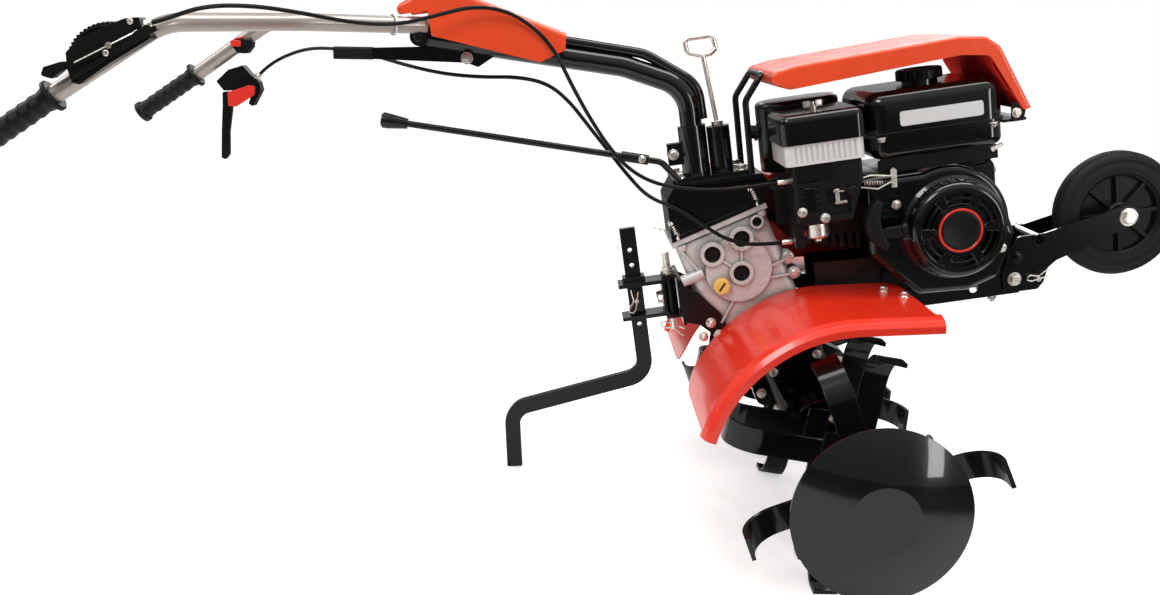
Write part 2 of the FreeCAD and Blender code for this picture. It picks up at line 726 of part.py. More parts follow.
def add_arc_slot(sketch, inner, spread, middle):
    """A slot round the sketch's origin, its middle at a number of degrees from across."""
    def corner(radius, turn):
        angle = "((%s) * 1deg)" % turn
        return ("(%s) * cos(%s)" % (radius, angle), "(%s) * sin(%s)" % (radius, angle))
    outer = "%s + slot_width" % inner
    early = "%s - %s" % (middle, spread)
    late = "%s + %s" % (middle, spread)
    add_outline(sketch, (corner(inner, early), corner(outer, early),
                         via(*corner(outer, middle)), corner(outer, late),
                         corner(inner, late), via(*corner(inner, middle))))


def make_starter():
    body = start_body("recoil_starter")
    sketch = start_sketch(body, "YZ_Plane")
    add_outline(sketch, (("0", "0"), ("0", "starter_radius"), ("-16", "starter_radius"),
                         ("-20", "starter_radius - 5"), ("-starter_depth + 12",
                                                         "starter_radius - 6"),
                         via("-starter_depth + 3", "starter_radius - 9"),
                         ("-starter_depth", "starter_radius - 17"),
                         ("-starter_depth", "slot_outer + slot_width + 3"),
                         ("-starter_depth + 4", "slot_outer + slot_width + 1"),
                         ("-starter_depth + 4", "slot_inner - 2"),
                         ("-starter_depth", "slot_inner - 4"), ("-starter_depth", "0")))
    revolve(body, sketch)
    slots = start_sketch(body, "XZ_Plane", "starter_depth - 4")
    add_arc_slot(slots, "slot_inner", "slot_spread", "90")
    add_arc_slot(slots, "slot_outer", "slot_spread", "90")
    cut = pocket(body, slots, "slot_depth")
    repeat_round(body, cut, "Y_Axis", 6)
    seat = start_sketch(body, "XZ_Plane", "starter_depth")
    add_circle(seat, "0", "0", "hub_disc")
    pocket(body, seat, "2")
    keep(body, at(num("crank_x"), num("shroud_front"), num("crank_z")))


def plan_box(rear, front, right, left):
    return ((rear, right), (front, right), (front, left), (rear, left))


def make_tank():
    body = start_body("fuel_tank")
    half_seam = "seam_thick / 2"
    upright(body, plan_box("tank_rear + 2 * tank_inset", "tank_front - tank_inset",
                           "tank_near + tank_inset", "tank_far - tank_inset"),
            "tank_floor", "tank_seam")
    round_edges(body, "tank_corner - tank_inset", runs_along("z"))
    round_edges(body, "12", lies_at("z", "tank_floor"))
    upright(body, plan_box("tank_rear + tank_inset", "tank_front - tank_inset / 2",
                           "tank_near + tank_inset / 2", "tank_far - tank_inset / 2"),
            "tank_seam", "tank_top")
    round_edges(body, "tank_corner", runs_along("z"), between("z", "tank_seam", "tank_top"))
    round_edges(body, "tank_shoulder", lies_at("z", "tank_top"))
    upright(body, plan_box("tank_rear", "tank_front", "tank_near", "tank_far"),
            "tank_seam - " + half_seam, "tank_seam + " + half_seam)
    round_edges(body, "tank_corner", runs_along("z"),
                between("z", "tank_seam - seam_thick", "tank_seam + seam_thick"))
    neck = start_sketch(body, "XY_Plane", "tank_top - 2")
    add_circle(neck, "crank_x - cap_behind", "cap_side", "neck_radius")
    pad(body, neck, "neck_rise + 2")
    recess(body, (("tank_rear + 62", "tank_floor + 12"), via("tank_rear + 54", "tank_floor + 19"),
                  ("tank_rear + 62", "tank_floor + 26"), ("tank_front - 50", "tank_floor + 26"),
                  via("tank_front - 42", "tank_floor + 19"), ("tank_front - 50", "tank_floor + 12")),
           "tank_near + tank_inset", "3")
    keep(body)
    cap = start_body("fuel_cap")
    sketch = start_sketch(cap, "XY_Plane")
    add_circle(sketch, "0", "0", "cap_radius")
    pad(cap, sketch, "cap_height")
    round_edges(cap, "4", lies_at("z", "cap_height"))
    top = start_sketch(cap, "XY_Plane", "cap_height")
    add_circle(top, "0", "0", "cap_radius - 12")
    pocket(cap, top, "2")
    notch = start_sketch(cap, "XY_Plane", "cap_height")
    add_circle(notch, "cap_radius + 1", "0", "3")
    cut = pocket(cap, notch, "cap_height - 3")
    repeat_round(cap, cut, "Z_Axis", 16)
    keep(cap, at(num("crank_x - cap_behind"), num("cap_side"), num("tank_top + neck_rise")))


def make_air_cleaner():
    base = start_body("air_cleaner_base")
    upright(base, plan_box("cleaner_rear + cleaner_lip", "cleaner_front - cleaner_lip",
                           "cleaner_near + cleaner_lip", "cleaner_far - cleaner_lip"),
            "cleaner_foot", "cleaner_band")
    round_edges(base, "10", runs_along("z"))
    gap = start_sketch(base, "XZ_Plane", "-(cleaner_near + cleaner_lip)")
    add_outline(gap, box_corners("cleaner_rear + cleaner_lip + 14",
                                 "cleaner_rear + cleaner_lip + 14 + rib_gap",
                                 "cleaner_foot + 4", "cleaner_band - 4"))
    cut = pocket(base, gap, "2")
    repeat_along(base, cut, "X_Axis", 12, "rib_pitch")
    keep(base)
    cover = start_body("air_cleaner_cover")
    upright(cover, plan_box("cleaner_rear", "cleaner_front", "cleaner_near", "cleaner_far"),
            "cleaner_band", "cleaner_top")
    round_edges(cover, "13", runs_along("z"))
    round_edges(cover, "11", lies_at("z", "cleaner_top"))
    keep(cover)


def make_carburettor():
    body = start_body("carburettor")
    slab(body, (("cleaner_rear + 12", "carb_foot + 4"), ("cleaner_rear + 22", "carb_foot"),
                ("block_rear - 56", "carb_foot"), ("block_rear - 36", "carb_foot + 60"),
                ("block_rear - 36", "cleaner_foot"), ("cleaner_rear + 12", "cleaner_foot")),
         "block_near - 0.2", "cleaner_near + 8")
    round_edges(body, "7", runs_along("y"), between("z", "carb_foot", "cleaner_foot - 5"))
    round_edges(body, "4", lies_at("y", "cleaner_near + 8"))
    recess(body, box_corners("cleaner_rear + 58", "cleaner_rear + 94", "carb_foot + 12",
                             "carb_foot + 52"), "cleaner_near + 8", "6")
    stop = box_corners("cleaner_rear + 10", "cleaner_rear + 24", "carb_foot - 36",
                       "carb_foot + 12")
    slab(body, stop, "cleaner_near + 44", "cleaner_near + 26")
    gap = start_sketch(body, "XZ_Plane", "-(cleaner_near + 8)")
    add_outline(gap, box_corners("cleaner_rear + 18", "cleaner_rear + 50",
                                 "carb_foot + 20", "carb_foot + 23"))
    cut = pocket(body, gap, "3")
    repeat_along(body, cut, "Z_Axis", 6, "9")
    keep(body)
    bowl = start_body("fuel_bowl")
    sketch = start_sketch(bowl, "XY_Plane")
    add_circle(sketch, "0", "0", "bowl_radius")
    pad(bowl, sketch, "bowl_height")
    round_edges(bowl, "5", lies_at("z", "0"))
    nut = start_sketch(bowl, "XY_Plane")
    add_circle(nut, "0", "0", "6")
    knob = pad(bowl, nut, "5")
    knob.Reversed = True
    keep(bowl, at(num("cleaner_rear + 46"), num("cleaner_near + 34"),
                  num("carb_foot - bowl_height")))


def make_muffler():
    body = start_body("muffler")
    upright(body, plan_box("head_rear - 20", "tank_rear - 4", "block_far - muffler_width",
                           "block_far"), "muffler_foot", "muffler_top")
    round_edges(body, "muffler_round", runs_along("z"))
    round_edges(body, "8", lies_at("z", "muffler_top"))
    gap = start_sketch(body, "XZ_Plane", "-block_far")
    add_outline(gap, box_corners("head_rear + 28", "head_rear + 33", "muffler_foot + 26",
                                 "muffler_top - 26"))
    cut = pocket(body, gap, "5", back=True)
    repeat_along(body, cut, "X_Axis", 4, "11")
    keep(body)


def make_handle_pull():
    body = start_body("pull_handle")
    half = "pull_grip / 2"
    middle = "crank_z + 22"
    near = "starter_front + 6"
    slab(body, (("crank_x - 116", "%s + %s" % (middle, half)),
                via("crank_x - 136", middle),
                ("crank_x - 110", "%s - %s" % (middle, half)),
                ("crank_x - 103", "%s - %s + 8" % (middle, half)),
                via("crank_x - 114", middle),
                ("crank_x - 108", "%s + %s - 6" % (middle, half))),
         near + " + pull_thick", near)
    round_edges(body, "3", lies_at("y", near))
    slab(body, box_corners("crank_x - 116", "crank_x - starter_radius + 5", "crank_z + 1",
                           "crank_z + 15"), near + " + 16", near + " + 4")
    keep(body)


def make_belt_cover():
    body = start_body("belt_cover")
    slab(body, (("crank_x", "crank_z - 67"), via("crank_x + belt_round", "crank_z"),
                ("crank_x", "crank_z + belt_round"),
                ("-20", "391"), ("-60", "408"), ("belt_x", "belt_z + belt_rear"),
                via("belt_x - belt_rear", "belt_z"), ("belt_x", "belt_z - 78")),
         "belt_far", "belt_near")
    round_edges(body, "9", lies_at("y", "belt_far"))
    keep(body)


# ---- transmission ---------------------------------------------------------------------

BORES = (("-54.9", "331.1"), ("-3.9", "335.6"), ("-24.4", "285.4"))
FACE = ("-26", "292")
LUGS = (("gear_front + 5", "276"), ("gear_front + 5", "250"))
RIBS = ((("-3.9", "335.6"), ("-24.4", "285.4")), (("-54.9", "331.1"), ("-24.4", "285.4")),
        (("0", "262"), ("gear_front + 4", "250")), (("10", "275"), ("gear_front + 4", "276")),
        (("-50", "250"), ("-84", "222")),
        (("-80", "300"), ("gear_rear + 4", "gear_top - 12")))


def add_rib(body, start, end, height):
    """A thin rib on the gearbox's right face, from one point to another."""
    v_run = num(end[0]) - num(start[0])
    u_run = num(end[1]) - num(start[1])
    length = math.hypot(v_run, u_run)
    across = (-u_run / length, v_run / length)
    corners = [("%s + %.4f * rib_half" % (point[0], side * across[0]),
                "%s + %.4f * rib_half" % (point[1], side * across[1]))
               for point, side in ((start, -1), (end, -1), (end, 1), (start, 1))]
    sketch = start_sketch(body, "XZ_Plane", "gear_half")
    add_outline(sketch, corners)
    pad(body, sketch, height)


def make_gearbox():
    body = start_body("gearbox")
    slab(body, box_corners("gear_rear", "gear_front", "gear_foot", "gear_top"),
         "gear_half", "-gear_half")
    round_edges(body, "gear_corner", runs_along("z"))
    slab(body, box_corners("gear_rear - 5", "gear_front + 5", "gear_top - gear_joint",
                           "gear_top"), "gear_half + 2", "-gear_half - 2")
    arm = start_sketch(body, "YZ_Plane", "gear_rear - 12")
    add_circle(arm, "-gear_half + arm_radius - 7", "308", "arm_radius")
    pad(body, arm, "36")
    face = start_sketch(body, "XZ_Plane", "gear_half - 2")
    add_circle(face, *FACE, "face_radius")
    pad(body, face, "face_stand + 2")
    for v, u in BORES:
        ring = start_sketch(body, "XZ_Plane", "gear_half - 2")
        add_circle(ring, v, u, "boss_radius")
        pad(body, ring, "face_stand + boss_stand + 2")
    small = start_sketch(body, "XZ_Plane", "gear_half - 2")
    add_circle(small, "28.4", "349.8", "11")
    pad(body, small, "face_stand + 2")
    for v, u in LUGS:
        lug = start_sketch(body, "XZ_Plane", "gear_half - 26")
        add_circle(lug, v, u, "lug_radius")
        pad(body, lug, "26")
    for index, (start, end) in enumerate(RIBS):
        add_rib(body, start, end, "face_stand + 3" if index < 2 else "face_stand - 2")
    for v, u in BORES:
        bore = start_sketch(body, "XZ_Plane", "gear_half + face_stand + boss_stand")
        add_circle(bore, v, u, "boss_bore")
        pocket(body, bore, "boss_depth")
    bore = start_sketch(body, "XZ_Plane", "gear_half + face_stand")
    add_circle(bore, "28.4", "349.8", "7.4")
    pocket(body, bore, "14")
    keep(body, LEANING)
    plug = start_body("oil_plug")
    sketch = start_sketch(plug, "XZ_Plane", "gear_half + face_stand")
    add_circle(sketch, "-61", "279", "plug_radius")
    pad(plug, sketch, "plug_stand")
    round_edges(plug, "3", lies_at("y", "-gear_half - face_stand - plug_stand"))
    keep(plug, LEANING)


def make_gearbox_cover():
    body = start_body("gearbox_cover")
    outline = (leaning("gear_rear - 2", "gear_top"), leaning("gear_front + 4", "gear_top"),
               ("-45", "cover_top - 14"), ("-52", "cover_top"), ("-188", "cover_top"),
               ("-204", "cover_top - 22"))
    slab(body, outline, "gear_half + 3", "-gear_half - 3")
    inside = (leaning("gear_rear + 12", "gear_top + 6"), leaning("gear_front - 20", "gear_top + 6"),
              ("-74", "cover_top - 5"), ("-184", "cover_top - 5"), ("-196", "cover_top - 24"))
    recess(body, inside, "-gear_half - 3", "3")
    keep(body)


def make_lower_case():
    body = start_body("lower_case")
    slab(body, box_corners("-case_front", "case_front", "0", "gear_foot"),
         "case_half", "-case_half")
    round_edges(body, "14", runs_along("z"))
    foot = start_sketch(body, "XZ_Plane")
    add_circle(foot, "0", "0", "case_round")
    pad(body, foot, "2 * case_half", both=True)
    low = "flange_height - flange_thick"
    slab(body, (("-case_front", "flange_height + 40"), ("-flange_reach", "flange_height + 8"),
                ("-flange_reach", low), ("-case_front + 8", "14"), ("case_front - 8", "14"),
                ("flange_reach", low), ("flange_reach", "flange_height + 8"),
                ("case_front", "flange_height + 40")), "flange_thick", "-flange_thick")
    round_edges(body, "10", runs_along("y"), between("z", low, "flange_height + 8"))
    outlet = start_sketch(body, "XZ_Plane")
    add_circle(outlet, "0", "0", "outlet_radius")
    pad(body, outlet, "2 * outlet_half", both=True)
    round_edges(body, "5", lies_at("y", "outlet_half"))
    round_edges(body, "5", lies_at("y", "-outlet_half"))
    bore = start_sketch(body, "XZ_Plane")
    add_circle(bore, "0", "0", "shaft_flats / 2 * 1.1547 + 0.05")
    pocket(body, bore, "2 * outlet_half + 2", both=True)
    keep(body, LEANING)


# ---- rotor ----------------------------------------------------------------------------

def tine(side):
    """One bent blade that stands up from its plate and hooks sideways, with a slant tip."""
    reach = num("tine_reach")
    thick = num("tine_thick")
    bend = num("tine_bend")
    hook = num("tine_hook")
    width = num("tine_width")
    inner = num("tine_root")
    corner = reach - thick - bend
    arc_out = bend + thick
    forty_five = math.sqrt(0.5)
    centre = Vector(0, side * bend, corner)
    outer_low = Vector(0, -side * thick, inner)
    outer_high = Vector(0, -side * thick, corner)
    outer_mid = centre + Vector(0, -side * arc_out * forty_five, arc_out * forty_five)
    outer_top = Vector(0, side * bend, reach)
    outer_tip = Vector(0, side * hook, reach)
    inner_tip = Vector(0, side * hook, reach - thick)
    inner_top = Vector(0, side * bend, reach - thick)
    inner_mid = centre + Vector(0, -side * bend * forty_five, bend * forty_five)
    inner_high = Vector(0, 0, corner)
    inner_low = Vector(0, 0, inner)
    edges = (Part.LineSegment(outer_low, outer_high), Part.Arc(outer_high, outer_mid, outer_top),
             Part.LineSegment(outer_top, outer_tip), Part.LineSegment(outer_tip, inner_tip),
             Part.LineSegment(inner_tip, inner_top), Part.Arc(inner_top, inner_mid, inner_high),
             Part.LineSegment(inner_high, inner_low), Part.LineSegment(inner_low, outer_low))
    face = Part.Face(Part.Wire([edge.toShape() for edge in edges]))
    blade = face.extrude(Vector(width, 0, 0))
    blade.translate(Vector(-width / 2, 0, 0))
    slant = [Vector(-width, side * (hook - (hook - bend) * 0.8), 0), Vector(width / 2, side * hook, 0),
             Vector(width, side * (hook + 5), 0), Vector(-width, side * (hook + 5), 0)]
    wedge = Part.Face(Part.makePolygon(slant + slant[:1])).extrude(Vector(0, 0, 2 * reach))
    blade = blade.cut(wedge)
    plate = num("plate_thick")
    blade.translate(Vector(num("tine_shift"), side * (plate / 2 + thick), 0))
    return blade


def make_rotor():
    plate = num("tine_plate")
    thick = num("plate_thick")
    for name, side in SIDES:
        shapes = []
        for cross, back in enumerate(TINE_TURNS):
            offset = side * (num("tine_first") + cross * num("tine_pitch"))
            turn = -PARK_PITCH - back
            square = box_between((-plate / 2, -thick / 2, -plate / 2),
                                 (plate / 2, thick / 2, plate / 2))
            fitted = [turned(square, turn)]
            for step in range(4):
                fitted.append(turned(tine(-side if step % 2 else side), 90 * step + turn))
            for shape in fitted:
                shape.translate(Vector(0, offset, 0))
            shapes += fitted
        hub = hexagon_bar(num("hub_flats"), side * num("hub_start"), side * num("hub_end"))
        keep(feature("tine_set_" + name, hub.multiFuse(shapes)))
    shaft = hexagon_bar(num("shaft_flats"), -num("hub_start"), num("hub_start"))
    keep(feature("output_shaft", shaft))


def make_discs():
    for name, side in SIDES:
        body = start_body("side_disc_" + name)
        sketch = start_sketch(body, "YZ_Plane")
        middle = "disc_boss + 0.55 * (disc_radius - disc_boss)"
        dish = "%d * (disc_dish" % side
        add_outline(sketch, (("0", "0"), (dish + ")", "0"), (dish + ")", "disc_boss"),
                             via(dish + " * 0.56)", middle), ("0", "disc_radius"),
                             ("%d * -disc_thick" % side, "disc_radius"),
                             via(dish + " * 0.56 - disc_thick)", middle),
                             (dish + " - disc_thick)", "disc_boss"),
                             (dish + " - disc_thick)", "disc_hub"),
                             ("%d * (hub_end - disc_rim)" % side, "disc_hub"),
                             ("%d * (hub_end - disc_rim)" % side, "0")))
        revolve(body, sketch)
        keep(body, at(0, side * num("disc_rim"), 0))


# ---- mudguards ------------------------------------------------------------------------

def guard_section(side):
    """The mudguard's sheet cut across: flat, a pressed ridge, and a lip turned down."""
    radius = num("guard_radius")
    sheet_thick = num("guard_sheet")
    inner = num("guard_inner")
    outer = num("guard_outer")
    band = outer - num("guard_band")
    ridge = radius + num("guard_ridge")
    foot = radius - num("guard_lip")
    below = [(inner, radius), (band - 10, radius), (band, ridge), (band + 8, ridge),
             (outer - 7, radius + 1), (outer - sheet_thick, radius - 5), (outer - sheet_thick, foot)]
    above = [(outer, foot), (outer, radius - 4), (outer - 6, radius + sheet_thick + 1),
             (band + 9, ridge + sheet_thick), (band - 1, ridge + sheet_thick),
             (band - 11, radius + sheet_thick), (inner, radius + sheet_thick)]
    corners = [Vector(0, side * across, up) for across, up in below + above]
    return Part.Face(Part.makePolygon(corners + corners[:1]))


def round_off(side, radius, edge, inwards):
    """What a rounded corner takes away at the sheet's inner edge, drawn above the shaft."""
    inner = side * num("guard_inner")
    low = num("guard_radius - 5")
    x_far = edge + inwards * radius
    y_far = inner + side * radius
    block = box_between((min(edge, x_far) - (inwards > 0), min(inner, y_far) - (side > 0), low),
                        (max(edge, x_far) + (inwards < 0), max(inner, y_far) + (side < 0),
                         low + 12))
    return block.cut(Part.makeCylinder(radius, 12, Vector(x_far, y_far, low)))


def make_mudguards():
    """Each mudguard is one section turned round the rotor and run out straight in front."""
    turn = num("guard_turn")
    rear = num("guard_rear")
    for name, side in SIDES:
        section = guard_section(side)
        start = turned(section, turn - 90)
        arc = start.revolve(Vector(0, 0, 0), Vector(0, -1, 0), rear - turn)
        ahead = Vector(math.sin(math.radians(turn)), 0, -math.cos(math.radians(turn)))
        nose = start.extrude(ahead * num("guard_nose"))
        guard = arc.fuse(nose).removeSplitter()
        guard = guard.cut(turned(round_off(side, num("guard_corner"), 0, 1), rear - 90))
        guard = guard.cut(turned(round_off(side, 15, num("guard_nose"), -1), turn - 90))
        keep(feature("mudguard_" + name, guard))


def make_guard_bracket():
    reach = num("guard_inner")
    top = num("guard_radius")
    plates = [side_plate(((-78, 200), (60, 200), (60, 214), (40, 222), (-60, 222), (-78, 212)),
                         side * (reach - 2) + 2, side * (reach - 2) - 2, 5)
              for name, side in SIDES]
    tab_rear = -46
    tab_front = 16
    tabs = [box_between((tab_rear, min(side * (reach - 4), side * (reach + 24)), 216),
                        (tab_front, max(side * (reach - 4), side * (reach + 24)), 221))
            for name, side in SIDES]
    guards = [part.Shape for part, place in PIECES if part.Label.startswith("mudguard_")]
    bracket = plates[0].multiFuse(plates[1:] + tabs)
    for guard in guards:
        bracket = bracket.cut(guard)
    keep(feature("mudguard_bracket", bracket))


# ---- front wheel ----------------------------------------------------------------------

def make_wheel():
    tyre = start_body("front_tyre")
    sketch = start_sketch(tyre, "YZ_Plane")
    shoulder = "tyre_radius - tyre_round"
    cut_in = "tyre_round * 0.29"
    add_outline(sketch, (("-tyre_half + 4", "tread_inner"), ("-tyre_half", "tread_inner + 8"),
                         ("-tyre_half", shoulder),
                         via("-tyre_half + " + cut_in, "tyre_radius - " + cut_in),
                         ("-tyre_half + tyre_round", "tyre_radius"),
                         ("tyre_half - tyre_round", "tyre_radius"),
                         via("tyre_half - " + cut_in, "tyre_radius - " + cut_in),
                         ("tyre_half", shoulder), ("tyre_half", "tread_inner + 8"),
                         ("tyre_half - 4", "tread_inner")))
    revolve(tyre, sketch)
    place = at(num("wheel_x"), 0, num("wheel_z"))
    keep(tyre, place)
    rim = start_body("front_rim")
    sketch = start_sketch(rim, "YZ_Plane")
    bore = "axle_radius + axle_play"
    ring = "tread_inner - rim_lip"
    add_outline(sketch, (("-rim_half - 4", bore), ("rim_half + 4", bore),
                         ("rim_half + 4", "wheel_hub - 3"), ("rim_half + 1", "wheel_hub"),
                         ("rim_web", "wheel_hub"), ("rim_web", ring), ("rim_half - 3", ring),
                         ("rim_half", "tread_inner - 4"), ("rim_half", "tread_inner"),
                         ("-rim_half", "tread_inner"), ("-rim_half", "tread_inner - 4"),
                         ("-rim_half + 3", ring), ("-rim_web", ring), ("-rim_web", "wheel_hub"),
                         ("-rim_half - 1", "wheel_hub"), ("-rim_half - 4", "wheel_hub - 3")))
    revolve(rim, sketch)
    spoke = start_sketch(rim, "XZ_Plane")
    add_outline(spoke, box_corners("-spoke_half", "spoke_half", "wheel_hub - 2",
                                   "tread_inner - rim_lip + 2"))
    bar = pad(rim, spoke, "2 * rim_half - 6", both=True)
    repeat_round(rim, bar, "Y_Axis", 8)
    keep(rim, place)


def make_fork():
    outline = spot_values("fork")
    half = num("fork_half")
    thick = num("fork_sheet")
    plates = [side_plate(outline, side * (half - thick / 2) + thick / 2,
                         side * (half - thick / 2) - thick / 2, 7) for name, side in SIDES]
    tube = cross_bar(num("tube_x"), num("tube_z"), num("tube_radius"), half + 10, -half - 3)
    wide = 2 * half
    holes = [cross_bar(num("wheel_x"), num("wheel_z"), num("axle_radius"), wide, -wide),
             cross_bar(num("pivot_x"), num("pivot_z"), num("pivot_radius + pin_play"), wide,
                       -wide),
             cross_bar(num("lock_pin_x"), num("lock_pin_z"), num("lock_pin_radius"), wide, -wide),
             cross_bar(num("pivot_x + 7"), num("pivot_z + 34"), num("pivot_radius"), wide, -wide),
             cross_bar(num("tube_x"), num("tube_z"), num("tube_bore"), wide, -wide)]
    fork = plates[0].multiFuse([plates[1], tube])
    for hole in holes:
        fork = fork.cut(hole)
    keep(feature("wheel_fork", fork))
    past = half + num("bolt_past")
    for label, name in (("lock_pin", "lock_pin"), ("axle_bolt", "axle"), ("pivot_bolt", "pivot")):
        centre = "wheel" if name == "axle" else name
        bolt = cross_bar(num(centre + "_x"), num(centre + "_z"), num(name + "_radius"),
                         past + 6, -past)
        keep(feature(label, bolt))


# ---- hood -----------------------------------------------------------------------------

def make_hood():
    body = start_body("hood")
    outline = spots("hood")
    slab(body, outline, "hood_far", "hood_near")
    round_edges(body, "12", runs_along("y"), between("z", "bed_deck + 350", "bed_deck + 400"))
    round_edges(body, "5", lies_at("y", "hood_near"), between("z", "bed_deck + 358",
                                                              "bed_deck + 400"))
    hollow = start_sketch(body, "XZ_Plane", "-(hood_far - 3)")
    inner = ["hood_sheet", "-hood_sheet"]
    low = outline[:5]
    high = outline[6:]
    under = [(x, "%s - 12" % z) for x, z in low[:4]]
    under.append((low[4][0], "%s - 12" % low[4][1]))
    top = [("%s - 5" % outline[5][0], "%s - 12" % outline[5][1]),
           ("%s - 4.5" % high[0][0], "%s - 3" % high[0][1])]
    top += [(x, "%s - hood_sheet" % z) for x, z in high[1:]]
    add_outline(hollow, under + top)
    pocket(body, hollow, "hood_far - hood_near - 6")
    keep(body)
    roof = num("bed_deck + 365.5")
    foot = num("cover_top + 0.4")
    points = [Vector(-68, -54, foot), Vector(-66, -54, roof - 36), Vector(-38, -54, roof),
              Vector(-38, 54, roof), Vector(-66, 54, roof - 36), Vector(-68, 54, foot)]
    keep(feature("hood_stay", tube_along(points, [20, 12, 12, 20], 5)))
    front = num("tank_front - tank_inset")
    level = num("tank_seam - seam_thick / 2")
    shelf = box_between((front, -119, level - 4), (front + 34, 104, level))
    outline = [(front + ahead, level + up) for ahead, up in
               ((11, -4), (29, -4), (33, 12), (30, 24), (13, 24))]
    ears = [side_plate(outline, left, left - 4) for left in (-118, 107)]
    shelf = shelf.multiFuse(ears).cut(body.Shape)
    keep(feature("hood_bracket", shelf))


# ---- handlebar ------------------------------------------------------------------------

def make_sleeve():
    x = num("column_x")
    lock_x = num("lock_x")
    foot = num("sleeve_foot")
    top = num("sleeve_top")
    sleeve = Part.makeCylinder(num("sleeve_radius"), top - foot, Vector(x, 0, foot))
    lock = Part.makeCylinder(num("lock_radius"), top - foot - 6, Vector(lock_x, 0, foot))
    plate = box_between((x - 43, -45, foot - num("sleeve_plate")), (lock_x + 36, 45, foot))
    lug = box_between((x - 42, -9, foot + 18), (x - 10, 9, foot + 52))
    bore = Part.makeCylinder(num("column_radius + column_play"), top - foot, Vector(x, 0, foot))
    slit = box_between((x - 43, -1.5, foot + 10), (x, 1.5, foot + 56))
    bolt_hole = cross_bar(x - 34, foot + 35, 4, 20, -20)
    solid = sleeve.multiFuse([lock, plate, lug]).cut(bore).cut(slit).cut(bolt_hole)
    keep(feature("column_sleeve", solid))
    rod = num("lock_rod")
    foot_point = Vector(lock_x, 0, top - 5.5)
    head = Vector(lock_x - 10, 0, top + 104)
    shaft = bar_between(foot_point, head, rod)
    nut = Part.makeCylinder(9, 7, foot_point)
    loop = tube_along([head, head + Vector(-24, 0, 8), head + Vector(-26, 0, 29),
                       head + Vector(18, 0, 29), head + Vector(21, 0, 9)], [6, 7, 7], rod)
    tail = tube_along([head + Vector(21, 0, 9), head + Vector(12, 0, 2), head + Vector(4, 0, 1)],
                      [2], rod)
    keep(feature("lock_handle", shaft.multiFuse([nut, loop, tail])))


def make_column():
    column_points = [Vector(x, 0, z) for x, z in spot_values("column")]
    foot = Vector(num("column_x"), 0, num("sleeve_foot + 2"))
    column = tube_along([foot] + column_points, [60, 90], num("column_radius"))
    end = column_points[-1]
    half = num("yoke_half")
    yoke = cross_bar(end.x, end.z, num("yoke_radius"), half, -half)
    brace_points = [Vector(x, 0, z) for x, z in spot_values("brace")]
    brace = tube_along(brace_points, [50, 80], num("brace_radius"))
    keep(feature("handle_column", column.multiFuse([yoke, brace])))
    arm = side_plate(spot_values("arm"), 9, -9, 2)
    saddle = box_between((end.x - 9, -9, end.z - 32), (end.x + 9, 9, end.z))
    keep(feature("handle_bracket", arm.fuse(saddle).cut(yoke).cut(column)))
    cover = start_body("handle_cover")
    half_cover = "cover_half"
    outline = spots("cover")
    slab(cover, outline, half_cover, "-" + half_cover)
    round_edges(cover, "10", runs_along("y"), between("z", "sleeve_top + 235", "sleeve_top + 265"))
    round_edges(cover, "7", lies_at("y", half_cover), between("z", "sleeve_top + 166",
                                                              "sleeve_top + 265"))
    round_edges(cover, "7", lies_at("y", "-" + half_cover), between("z", "sleeve_top + 166",
                                                                    "sleeve_top + 265"))
    hollow = start_sketch(cover, "XZ_Plane")
    add_outline(hollow, (("column_x - 453", "sleeve_top + 230"),
                         ("column_x - 377", "sleeve_top + 170"),
                         ("column_x - 220", "sleeve_top + 100"),
                         ("column_x - 153", "sleeve_top + 100"),
                         ("column_x - 153", "sleeve_top + 151"),
                         ("column_x - 309", "sleeve_top + 237"),
                         ("column_x - 373", "sleeve_top + 255"),
                         ("column_x - 453", "sleeve_top + 240")))
    pocket(cover, hollow, "2 * cover_half - 8", both=True)
    for side in (RIGHT, LEFT):
        mouth = start_sketch(cover, "XZ_Plane", "%d * 60" % -side)
        add_outline(mouth, box_corners("column_x - 453", "column_x - 373", "sleeve_top + 180",
                                       "sleeve_top + 229"))
        pocket(cover, mouth, "80", both=True)
    keep(cover)
    make_bars(end, yoke)


def make_bars(end, yoke):
    bar_radius = num("bar_radius")
    for name, side in SIDES:
        points = [end + Vector(11, side * 60, 15), end + Vector(-153, side * 150, 43),
                  end + Vector(-299, side * 285, 63), end + Vector(-443, side * 308, -4),
                  end + Vector(-565, side * 312, -61)]
        bar = tube_along(points, [200, 60, 300], bar_radius).cut(yoke)
        keep(feature("handlebar_" + name, bar))
        direction = (points[4] - points[3]).normalize()
        length = num("grip_length")
        radius = num("grip_radius")
        flange = num("grip_flange")
        profile = [(0, 0), (0, flange - 2), (2, flange), (6, flange), (9, radius + 1)]
        ridges = 6
        for ridge in range(ridges):
            along = 14 + ridge * (length - 30) / ridges
            profile += [(along, radius), (along + 6, radius - 1.6)]
        profile += [(length - 12, radius), (length - 10, radius + 3), (length - 2, radius + 3),
                    (length, radius), (length, 0)]
        grip = spun(profile, points[3] + direction * 8, direction)
        keep(feature("grip_" + name, grip.cut(bar)))


